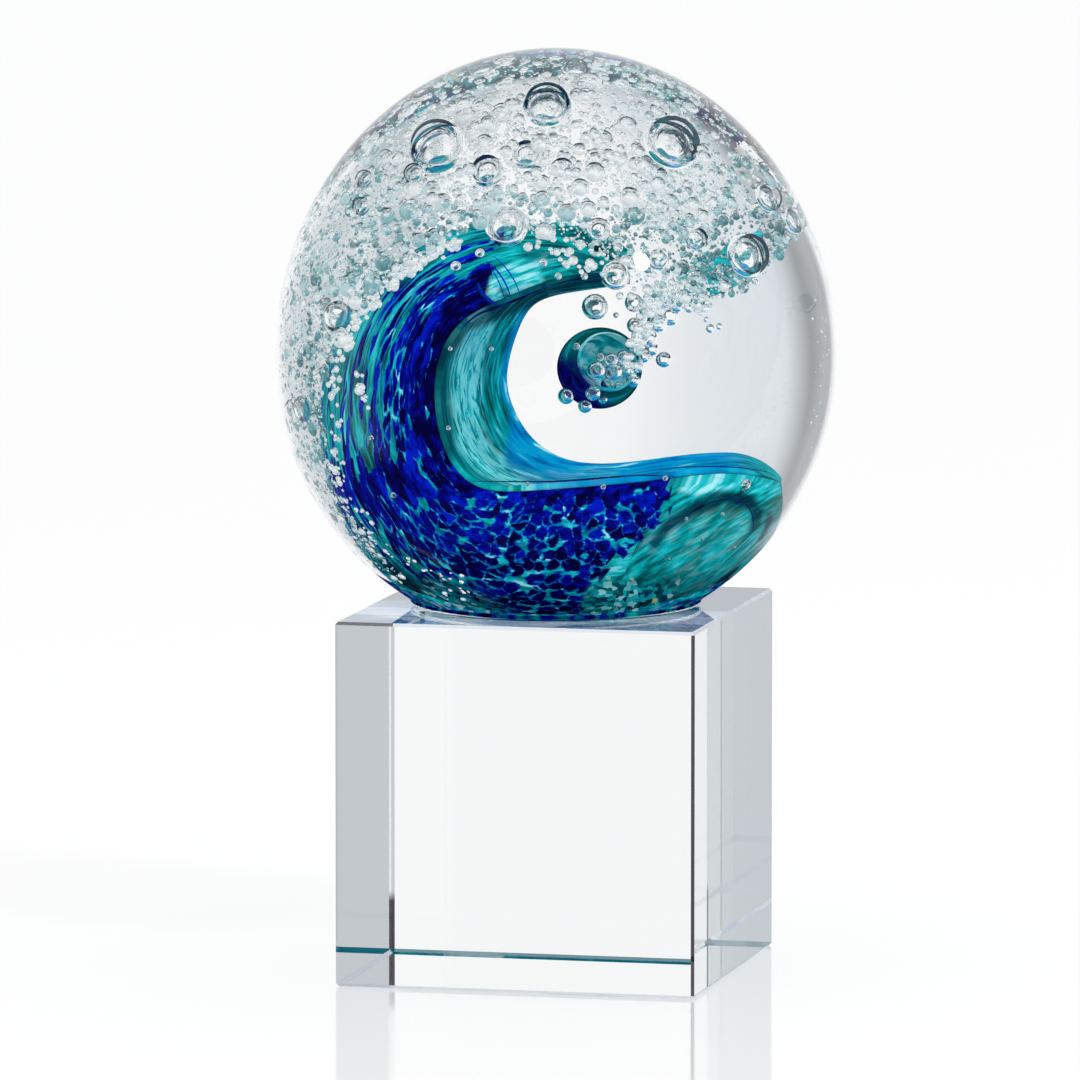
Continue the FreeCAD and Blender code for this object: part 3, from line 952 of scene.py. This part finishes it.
def cell_size(along):
    """Length and width of the frit's cells, drawn out up the wall and round in the sea."""
    turn = np.clip((along - 0.36) / 0.10, 0, 1)
    wall = np.clip((along - 0.50) / 0.10, 0, 1)
    return (2.8 + turn * 2.2 + wall * 0.8) * MM, (2.3 - turn * 0.8 - wall * 0.35) * MM


def make_skin(name, outside, inside, along, over, tables, material, strip=0.0):
    """A block between two skins of the wave, with the maps of its flow and cells."""
    faces = block_faces(*along.shape)
    piece = make_piece(name + "_glass", in_row(as_corners(outside, inside)), faces, material, [name])
    along, over = twice(along.ravel()), twice(over.ravel())
    share, length, width = tables
    across = np.interp(over, share, width)
    if strip:
        half = len(across) // 2
        across[half:] = -strip - across[half:]
    long, wide = cell_size(share)
    counted = np.interp(along, share, np.cumsum(np.diff(length, prepend=0) / long))
    add_map(piece, "flow", np.stack([np.interp(along, share, length), across], -1))
    add_map(piece, "cells", np.stack([counted, across / np.interp(along, share, wide)], -1))
    return piece, over


def make_pours():
    """The four pours round the barrel, each a closed block."""
    under = lining_thickness + clear_film
    outer, inner = body_net(under), barrel_net(under)
    columns = np.linspace(0, 1, pour_columns)
    tables = lengths(outer)
    frit = frit_glass("sea_frit", 3.0)
    for number, name in enumerate(pour_names):
        start, stop = pour_range(outer, number, columns)
        step = np.linspace(0, 1, 8 + int(wave_rows * np.mean(stop - start)))[:, None]
        along = start + (stop - start) * step
        start, stop = pour_range(inner, number, columns)
        under_along = start + (stop - start) * step
        over = np.broadcast_to(columns, along.shape)
        outside, inside = surface_at(outer, along, over), surface_at(inner, under_along, over)
        piece, over = make_skin(name, outside, inside, along, over, tables, frit, rim_thickness)
        seen = twice(picture_points(outside.reshape(-1, 3)))
        if name == "sea_swell":
            turn_swell_map(piece, seen)
        add_shares(piece, frit_shares(seen, over < 0.5), 1.2)


def turn_swell_map(piece, seen):
    """Lays the swell's streaks from lower left to upper right, as they are seen."""
    off = (seen - ball_pixel) * pixel_size
    slope, rise = math.cos(swell_slope), math.sin(swell_slope)
    add_map(piece, "flow", off @ np.array([[slope, rise], [-rise, slope]]))


def frit_shares(seen, shown):
    """How much cobalt, dark, light and sparkle each place of the wave's outside has."""
    across, down = seen[:, 0], seen[:, 1]
    before_end = np.where(across < np.interp(down, cobalt_end[:, 1], cobalt_end[:, 0]), 1, -1)
    sea = between(before_end * off_line(seen, cobalt_end), -9, 9)
    from_rim = off_line(seen, cobalt_top)
    wall = 1.15 - 0.95 * between(from_rim, 34, 84)
    low = between(down, 440, 500)
    corner = between(down + 0.75 * (470 - across), 575, 635)
    crest = between(across, 480, 500) * between(down, 330, 310)
    upper = between(down, 296, 262) * between(from_rim, 20, 60)
    cover = sea * (wall * (1 - low) + 1.15 * low) * (1 - 0.8 * corner) * (1 - crest) * (1 - 0.6 * upper)
    return {
        "cobalt": np.where(shown, cover, 0.35),
        "deep": between(down, 500, 590) + 0.9 * between(from_rim, 40, 14) * between(down, 470, 440),
        "dense": between(from_rim, 46, 20) * between(down, 474, 440) + 0.8 * between(down, 512, 494) * low,
        "stripes": between(from_rim, 40, 80) * between(across, 470, 440),
        "light": shown * np.maximum.reduce([
            0.85 * patch(seen, crest_window, 3), patch(seen, swell_window, 3), 0.7 * patch(seen, swell_pale, 6),
            0.22 * between(down, 500, 525) * between(across, 655, 680) * between(across, 780, 745),
            patch(seen, crest_lip, 2)]),
        "dark": shown * np.maximum.reduce([
            0.9 * patch(seen, swell_wedge, 4), 0.85 * between(off_line(seen, swell_fold), 10, 2),
            0.5 * patch(seen, crest_shadow, 5), 0.9 * patch(seen, left_corner, 4), 0.9 * patch(seen, right_corner, 4),
            0.8 * between(off_line(seen, crest_edge), 7, 2)]),
        "mosaic": shown * between(down, 572, 596) * np.maximum(1 - sea, corner),
    }


def make_lining():
    """The barrel's lining and the azure glass behind it, each a closed skin."""
    inner, outer = barrel_net(0), barrel_net(lining_thickness)
    tables = lengths(inner)
    columns = np.linspace(0, 1, lining_columns)
    along = np.repeat(np.linspace(0, 1, lining_rows)[:, None], lining_columns, 1)
    depth_at = surface_at(inner, along, np.repeat(columns[None], lining_rows, 0))[..., 2]
    for name, back, slot in (("barrel_lining", 0, "turquoise_glass"), ("far_rim", 1, "azure_glass")):
        edge = azure_depth + clear_film * (1 - back)
        turn = np.array([[np.interp(-edge, -depths, columns)] for depths in depth_at])
        over = turn + (1 - turn) * columns if back else turn * columns
        inside, outside = surface_at(inner, along, over), surface_at(outer, along, over)
        material = lining_glass(name + "_streaks", 21.0)
        piece, _ = make_skin(name, outside, inside, along, over, tables, material)
        add_shares(piece, lining_shares(twice(picture_points(inside.reshape(-1, 3)))), 1)


def lining_shares(seen):
    """How azure, pale and dark each place of the barrel's lining is."""
    across, down = seen[:, 0], seen[:, 1]
    from_highlight = off_line(seen, lining_highlight_band)
    wide = 4 + 34 * between(down, 405, 475)
    far = between(off_line(seen, picture_points(far_rim)), wide + 6, wide - 4)
    return {
        "azure": far * between(down, 290, 320) * between(across, 770, 715),
        # A painted highlight band of white streaks, with painted light along it
        "painted_highlight": between(from_highlight, 20, 7),
        "light": np.maximum(0.8 * patch(seen, crest_lip, 3), 0.25 * between(from_highlight, 12, 4)),
        "dark": 0.75 * between(off_line(seen, picture_points(near_rim)), 11, 3) * between(down, 470, 450),
    }


# The ball and its bubbles

def ball_outline():
    """Half the ball's outline, from the middle of its foot to its top."""
    flat = np.array([[0, foot_height], [foot_flat_radius, foot_height]])
    turn = np.linspace(0, 1, rounding_steps)[1:, None]
    corner = np.array([foot_rim_radius, foot_height])
    rim = np.array([foot_rim_radius, foot_height + foot_rim_height])
    rounding = flat[1] * (1 - turn) ** 2 + corner * 2 * turn * (1 - turn) + rim * turn**2
    arcs = []
    for start, stop, height in ((math.asin(foot_rim_radius / ball_radius), math.pi / 2, belly_depth),
                                (math.pi / 2, math.pi, crown_height)):
        angle = np.linspace(start, stop, arc_steps)[1:]
        arcs.append(np.array([0, equator_height]) + arc(angle, ball_radius, height))
    return np.concatenate([flat, rounding, *arcs])


def bubble_places(shares):
    """True places and radii of bubbles from where and how large they are seen."""
    places = seen_through_glass(*shares[:, :3].T)
    seen = shares[:, :3] * ball_scale(shares[:, 1])
    shrink = np.hypot(places[:, 0], places[:, 1]) / np.hypot(seen[:, 0], seen[:, 1])
    return in_row(places), shares[:, 3] * ball_radius * shrink


def make_ball():
    """The clear ball, with its largest bubbles as hollows."""
    corners, faces = turned_net(ball_outline(), ball_sides)
    air, shells = spheres(*bubble_places(bubble_shares), 4)
    glass = clear_glass("clear_glass", glass_index, white, bare_foot)
    faces += (shells + len(corners)).tolist()
    ball = make_piece("glass_ball", as_corners(corners, air), faces, glass, ["orb_casing"])
    ball.data.set_sharp_from_angle(angle=math.radians(40))
    return glass


def make_bubbles(name, points, radii, depths, level, glass, tones=None):
    """Bubbles where they are seen: points and radii in pixels, depths in shares."""
    places, sizes = bubble_places(np.column_stack([picture_shares(points), depths, radii / radius_pixels]))
    off = (places - equator)[:, [0, 2, 1]]
    kept = np.linalg.norm(off / ball_scale(off[:, 1]), axis=-1) + sizes / ball_radius < furthest_bubble
    tones = np.ones(len(kept)) if tones is None else tones
    places, sizes, tones = places[kept], sizes[kept], tones[kept]
    sphere_faces = 20 * 4 ** (level - 1)
    groups = math.ceil(len(places) * sphere_faces / most_faces)
    for group in range(groups):
        own = slice(group, None, groups)
        corners, faces = spheres(places[own], sizes[own], level)
        piece = make_piece(f"{name}_{group}" if groups > 1 else name, corners, faces, glass)
        add_share(piece, "tone", np.repeat(tones[own], len(corners) // len(tones[own])))


def furthest_depth(points):
    """The depth share of the ball's surface where points are seen."""
    return np.sqrt(np.maximum(0, 1 - (picture_shares(points)**2).sum(-1)))


def make_foam(glass):
    """Thousands of small bubbles through the ball's top and left, and the places of painted dark arcs over some of
    them.
    """
    chance = np.random.default_rng(foam_seed)
    low, high = foam_outline.min(0), foam_outline.max(0)
    large_points = share_points(bubble_shares[:, :2])
    painted_arcs = []
    for name, count, least, most, level in foam_kinds:
        points = low + (high - low) * chance.random((count * foam_candidates, 2))
        across, down = points.T
        clump = np.sin(across / 31 + 2 * np.sin(down / 47)) * np.sin(down / 27 + across / 90)
        kept = inside_outline(points, foam_outline) & (furthest_depth(points) > 0.16)
        kept &= chance.random(len(points)) < 0.55 + 0.20 * clump + 0.35 * between(across, 440, 360)
        points = points[kept][:count]
        number = len(points)
        reach = furthest_depth(points)
        over_wave = (points[:, 1] > foam_front_top) & (points[:, 0] < foam_front_right)
        nearest = np.where(over_wave, np.clip(foam_front_depth, 0.6 * reach, 0.8 * reach), 0.55 * reach)
        depths = nearest + (0.95 * reach - nearest) * chance.random(number) ** 0.7
        for middle, (_, _, toward, radius) in zip(large_points, bubble_shares):
            near = np.linalg.norm(points - middle, axis=1) < 1.12 * radius * radius_pixels
            depths = np.where(near, np.minimum(depths, toward - radius - 0.3 * chance.random(number)), depths)
        radii = least * (most / least) ** (chance.random(number) ** 1.8)
        bright = np.exp(-((points - foam_bright[:2]) ** 2).sum(-1) / foam_bright[2] ** 2)
        teal_share = between(off_line(points, foam_teal), 34, 8)
        # Tones of the painted glints: random, whitest near foam_bright and teal along foam_teal
        tones = np.clip(chance.random(number) + 0.95 * bright - 0.12 - 0.45 * teal_share, 0, 1)
        make_bubbles(name, points, radii, depths, level, glass, tones)
        # Painted dark reflections go over the larger bubbles
        if level > 1:
            large = radii > least_painted_arc
            start, stop = 130 + 50 * chance.random(large.sum()), 10 + 40 * chance.random(large.sum())
            painted_arcs.append((points[large], radii[large], depths[large], start, stop, 0.16 * radii[large]))
    return painted_arcs


def make_beads(glass, froth):
    """Rows of beads along the wave, and the bubbles that are seen apart."""
    chance = np.random.default_rng(foam_seed + 1)
    points, radii, depths = [], [], []
    for count, stray, depth, size, line in bead_rows:
        line = np.array(line, float)
        run = np.concatenate([[0], np.cumsum(np.linalg.norm(np.diff(line, axis=0), axis=-1))])
        place = run[-1] * chance.random(count)
        middle = np.stack([np.interp(place, run, line[:, axis]) for axis in (0, 1)], -1)
        points.append(middle + stray * 0.5 * chance.standard_normal((count, 2)))
        radii.append(size * (2.2 + 3.2 * chance.random(count) ** 2))
        depths.append(depth + 0.03 * chance.random(count))
    points = np.concatenate(points)
    depths = np.minimum(np.concatenate(depths), 0.9 * furthest_depth(points))
    tones = 0.45 + 0.55 * chance.random(len(points))
    make_bubbles("bead_bubbles", points, np.concatenate(radii), depths, 3, froth, tones)
    make_bubbles("lone_bubbles", lone_bubbles[:, :2], 1.2 * lone_bubbles[:, 2], lone_bubbles[:, 3], 3, glass)


# Threads, painted dark arcs and veils

def make_threads():
    """Thin dark threads of glass that edge the crest, the sea and the swell."""
    step = np.linspace(0, 1, thread_steps)
    widths, blues, lines = zip(*threads)
    stations = np.array([smooth_line(line, step) for line in lines])
    places = places_behind(stations[..., :2], stations[..., 2])
    run = unit(np.gradient(places, axis=1))
    side = unit(np.cross(run, [0, 0, 1.0]))
    taper = np.sin(math.pi * np.clip(0.06 + 0.88 * step, 0, 1)) ** 0.6
    radii = taper * np.array(widths)[:, None] / 2 * pixel_size
    corners, faces = tubes(places, side, np.cross(side, run), radii, thread_sides)
    piece = make_piece("wave_threads", in_row(corners), faces, thread_glass())
    add_share(piece, "blue", np.repeat(np.array(blues, float), thread_steps * thread_sides))


def large_painted_arcs():
    """The painted dark arcs round the large bubbles, as they are seen."""
    which, start, stop, width, out = np.array(painted_bubble_arcs).T
    shares = bubble_shares[which.astype(int)]
    return share_points(shares[:, :2]), out * shares[:, 3] * radius_pixels, shares[:, 2], start, stop, width


def make_painted_arcs(painted_arcs):
    """Thin dark crescents over the upper sides of the bubbles, painted as their dark reflections."""
    points, radii, depths, start, stop, width = (np.concatenate(values) for values in zip(*painted_arcs))
    step = np.linspace(0, 1, painted_arc_steps)
    angle = np.radians(start[:, None] + (stop - start)[:, None] * step)
    around = np.stack([np.cos(angle), -np.sin(angle)], -1)
    middle = points[:, None] + around * (radii - 0.4 * width)[:, None, None]
    places = places_behind(middle, depths[:, None])
    kept = np.linalg.norm(places / ball_scale(places[..., 1]), axis=-1).max(-1) < furthest_painted_arc
    places, around, width = places[kept], around[kept], width[kept]
    side = np.concatenate([around * np.array([1, -1]), np.zeros((*around.shape[:2], 1))], -1)
    taper = np.maximum(np.sin(math.pi * step) ** 0.7, 0.08) * width[:, None] / 2 * pixel_size
    toward = np.broadcast_to([0, 0, 1.0], side.shape)
    corners, faces = tubes(places, side, toward, taper, painted_arc_sides)
    make_piece("painted_bubble_arcs", in_row(corners), faces, painted_arc_shade())


def make_veils():
    """Ragged sheets of teal glass drawn up into the foam behind the crest."""
    material = veil_glass()
    along = np.linspace(0, 1, veil_columns)
    up = np.linspace(0, 1, veil_rows)[:, None]
    for number, (depth, *edges) in enumerate(veil_lines):
        low, high = (smooth_line(edge, along) for edge in edges)
        points = low + (high - low) * up[..., None]
        toward = depth + 0.06 * np.sin(math.pi * up)
        corners = as_corners(*(places_behind(points, toward - gap) for gap in (0, 0.006)))
        faces = block_faces(veil_rows, veil_columns)
        piece = make_piece(f"teal_veil_{number}", in_row(corners), faces, material)
        ends = between(along, 0, 0.15) * between(along, 1, 0.85)
        add_share(piece, "solid", twice(np.clip(0.85 * between(up, 1.0, 0.35) * ends, 0, 1).ravel()))
        add_map(piece, "flow", twice(((points - ball_pixel) * pixel_size).reshape(-1, 2)))


# The drop and the foot

def make_drop():
    """The drop: a thick cup of teal glass that opens toward the viewer."""
    pole = unit(np.array(drop_opening))
    side = unit(np.cross([0, 1, 0], pole))
    axes = np.array([side, np.cross(pole, side), pole])
    middle = seen_through_glass(*drop_share)
    # The angle at which the two balls meet, and the hollow's own angle at its narrower mouth
    offset = drop_hollow_offset
    lip = math.acos((offset**2 + drop_radius**2 - drop_hollow_radius**2) / (2 * offset * drop_radius))
    mouth = math.asin(drop_radius * math.sin(lip) / drop_hollow_radius * drop_lip_share)
    outer = np.linspace(math.pi, lip, drop_steps)
    inner = np.linspace(mouth, math.pi, drop_steps)
    outline = np.concatenate([
        arc(outer, drop_radius, -drop_radius),
        np.array([0, offset]) + arc(inner, drop_hollow_radius, -drop_hollow_radius),
    ])
    corners, faces = turned_net(outline, drop_sides)
    off = corners @ axes
    piece = make_piece("curl_drop_glass", in_row(middle + off), faces, drop_glass(), ["curl_drop"])
    rings = np.repeat([0.0, 1.0], (drop_steps - 1) * drop_sides)
    from_pole = np.arccos(np.clip(unit(off) @ pole, -1, 1))
    edge_on = 1 - np.abs((off / drop_radius)[:, 2])
    add_share(piece, "hollow", np.concatenate([rings, [0, 1]]))
    add_share(piece, "dark", between(unit(off) @ unit(np.array(drop_dark_side)), 0.25, 0.75))
    add_share(piece, "lip", np.maximum(between(from_pole, lip + 0.25, lip), between(edge_on, 0.55, 0.95)))
    angle = np.arctan2(off[:, 1], off[:, 0])
    add_map(piece, "flow", np.stack([angle * drop_radius, off @ pole], -1))


def make_pool():
    """The foot's pool as a low dome."""
    low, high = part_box("foot_pool")
    radius, tall = (high.x - low.x) / 2, high.z - low.z
    rings = np.linspace(0, 1, pool_rings)[:0:-1]
    dome = np.stack([radius * rings, low.z + tall * np.sqrt(1 - rings**2)], -1)
    outline = np.concatenate([[[0, low.z], [radius * 0.995, low.z]], dome, [[0, high.z]]])
    corners, faces = turned_net(outline, pool_sides)
    material = pool_glass()
    piece = make_piece("foot_pool_glass", corners, faces, material, ["foot_pool"])
    reach = np.hypot(corners[:, 0], corners[:, 1]) / radius
    add_share(piece, "deep", between(reach, 0.86, 0.95))
    add_map(piece, "flow", corners[:, :2])
    make_foot_wings(material)


def make_foot_wings(material):
    """Dark glass that rises inside the ball's foot, most at its left, right and back."""
    around = np.linspace(0, 2 * math.pi, wing_steps, endpoint=False)
    side = np.abs(np.cos(around - wave_yaw)) ** 3
    side = np.where(np.sin(around - wave_yaw) > 0, np.maximum(side, 0.9), side)
    share = np.linspace(0, 1, wing_rows)[:, None]
    height = foot_rim_height + (wing_low + (wing_high - wing_low) * side) * share
    reach = ball_radius * np.sqrt(1 - ((foot_depth - height) / belly_depth)**2)
    skins = []
    for depth in (wing_depth, wing_depth + wing_thickness):
        inset = reach - depth
        skins.append(np.stack([inset * np.cos(around), inset * np.sin(around), foot_height + height], -1))
    number = np.arange(height.size).reshape(height.shape)
    corners = as_corners(*skins)
    faces = ring_faces(np.concatenate([number, number[::-1] + number.size, number[:1]]))
    piece = make_piece("foot_wings", corners, faces, material)
    angle = np.arctan2(corners[:, 1], corners[:, 0])
    add_share(piece, "deep", 0.55 + 0.45 * np.tile(side, 2 * wing_rows))
    add_map(piece, "flow", np.stack([angle * foot_rim_radius, corners[:, 2]], -1))


# Surroundings

def round_angle(direction):
    """The angle of a direction to the right of the line of sight, as seen from above."""
    across, away = (direction.vector("DOT_PRODUCT", (1, tuple(unit(axis))), key="Value")
                    for axis in (wave_axes[0], -wave_axes[2] * np.array([1, 1, 0])))
    return across.angle_to(away)


def brightness_round(angle, surroundings):
    """How bright the surroundings are at an angle, a little bluer where they are grey."""
    grey = []
    for degrees, brightness in surroundings:
        tint = 1 + (cool_tint - 1) * min(1, (1 - brightness) / 0.2)
        grey.append((0.5 + degrees / 360, tuple(brightness * tint)))
    return angle.scaled(0.5 / math.pi, 0.5).ramp(*grey)


def make_world():
    """White to the camera, and grey at the sides and above in what the glass shows."""
    world = bpy.data.worlds.new("studio")
    bpy.context.scene.world = world
    world.use_nodes = True
    tree = world.node_tree
    tree.nodes.clear()
    direction = value(tree, "TexCoord", key="Generated")
    height = direction.parts()[2]
    angle = round_angle(direction)
    clear = height.rise(0.72, 0.86).blend(brightness_round(angle, clear_surroundings), ceiling_grey)
    bands = [height.rise(*lower) * height.rise(*upper) * dark for lower, upper, dark in dark_bands]
    dark_above = bands[0].highest(bands[1]) * (angle.rise(-1.2, -0.6) * angle.rise(2.2, 1.6))
    foamy = dark_above.blend(brightness_round(angle, bubble_surroundings), ceiling_grey)
    looks = of_ray(tree, "Ray Depth").rise(*depth_of_bubbles).blend(clear, foamy)
    behind = abs(angle).rise(1.2, 1.9).highest(height.rise(-0.30, -0.55))
    mirrored = (of_ray(tree, "Is Reflection Ray") * behind).blend(looks, mirrored_dark)
    colour = bent_ray(tree).blend(white, mirrored)
    add(tree, "OutputWorld", {"Surface": value(tree, "Background", {0: colour, 1: 1.0})})


def make_floor():
    """A pale floor that glass sees through, except for a glow under the cube with painted light, painted shadow toward
    the front and a painted blue reflection toward the back.
    """
    half, level = floor_half_width, cube_low.z - floor_gap
    corners = np.array([(x, y, level) for x, y in ((-half, -half), (half, -half), (half, half), (-half, half))])
    material, tree = new_material("floor_white")
    floor = make_object("floor", corners, [(0, 1, 2, 3)], material)
    paper = value(tree, "BsdfPrincipled", {"Base Color": floor_white, "Roughness": 0.07, "Specular IOR Level": 0.5})
    here = geometry(tree, "Position")
    across, away, _ = here.parts()
    under = (abs(across) < cube_high.x) * (abs(away) < cube_high.x)
    # Painted blue reflection of the wave toward the back, and painted shadow toward the front for rays that have
    # turned few times
    blues = noise(tree, here, 60.0, 2.0).rise(0.35, 0.60) * across.rise(blue_reflection_side + under_soft, blue_reflection_side)
    far_side = (blues * 0.6 + 0.4).blend(under_painted_light, under_blue_reflection)
    near_side = of_ray(tree, "Ray Depth").rise(*depth_of_floor).blend(under_painted_shadow, under_painted_light)
    shade = away.rise(under_edge - under_soft, under_edge + under_soft).blend(near_side, far_side)
    glow = value(tree, "Emission", {0: shade, 1: 1.0})
    finished(material, bent_ray(tree).mix(paper, under.mix(clear_way(tree), glow)))


def make_lamp():
    """A small round lamp, placed where the ball mirrors it at a named spot."""
    toward = math.sqrt(1 - sum(share**2 for share in highlight_share))
    spot = np.array([*highlight_share, toward])
    tall = crown_height / ball_radius
    normal = unit(spot / np.array([1, tall, 1])) @ wave_axes
    place = in_row(spot * np.array([ball_radius, crown_height, ball_radius]))
    view = unit(place - camera_place)
    away = view - 2 * (view @ normal) * normal
    lamp = bpy.data.lights.new("lamp", "AREA")
    lamp.shape = "DISK"
    lamp.size = lamp_width
    lamp.energy = lamp_power
    holder = in_scene(bpy.data.objects.new("lamp", lamp))
    holder.location = place + away * lamp_distance
    holder.rotation_euler = Vector(away).to_track_quat("Z", "Y").to_euler()
    holder.visible_camera = False


def make_camera():
    """The camera that took the photo."""
    data = bpy.data.cameras.new("camera")
    data.lens = camera_lens_mm
    data.sensor_width = camera_sensor_mm
    data.clip_start, data.clip_end = 0.1, 100
    camera = in_scene(bpy.data.objects.new("camera", data))
    camera.matrix_world = Matrix.Translation(camera_place) @ Matrix(camera_axes).transposed().to_4x4()
    bpy.context.scene.camera = camera


make_camera()
make_world()
make_floor()
make_lamp()
glass = make_ball()
make_pours()
make_lining()
make_threads()
make_veils()
make_drop()
make_pool()
froth = clear_glass("froth", glass_index, white, froth_painted_glints)
make_beads(glass, froth)
make_painted_arcs([large_painted_arcs(), *make_foam(froth)])

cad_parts["base_cube"].data.materials[0] = clear_glass("crystal", cube_index, crystal_tint, painted_edge_reflections)
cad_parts["bond_film"].data.materials[0] = clear_glass("bond", bond_index, bond_tint)

scene = bpy.context.scene
scene.view_settings.view_transform = "Standard"
scene.cycles.max_bounces = 40
scene.cycles.transmission_bounces = 40
scene.cycles.glossy_bounces = 12
scene.cycles.diffuse_bounces = 3
scene.cycles.transparent_max_bounces = 40
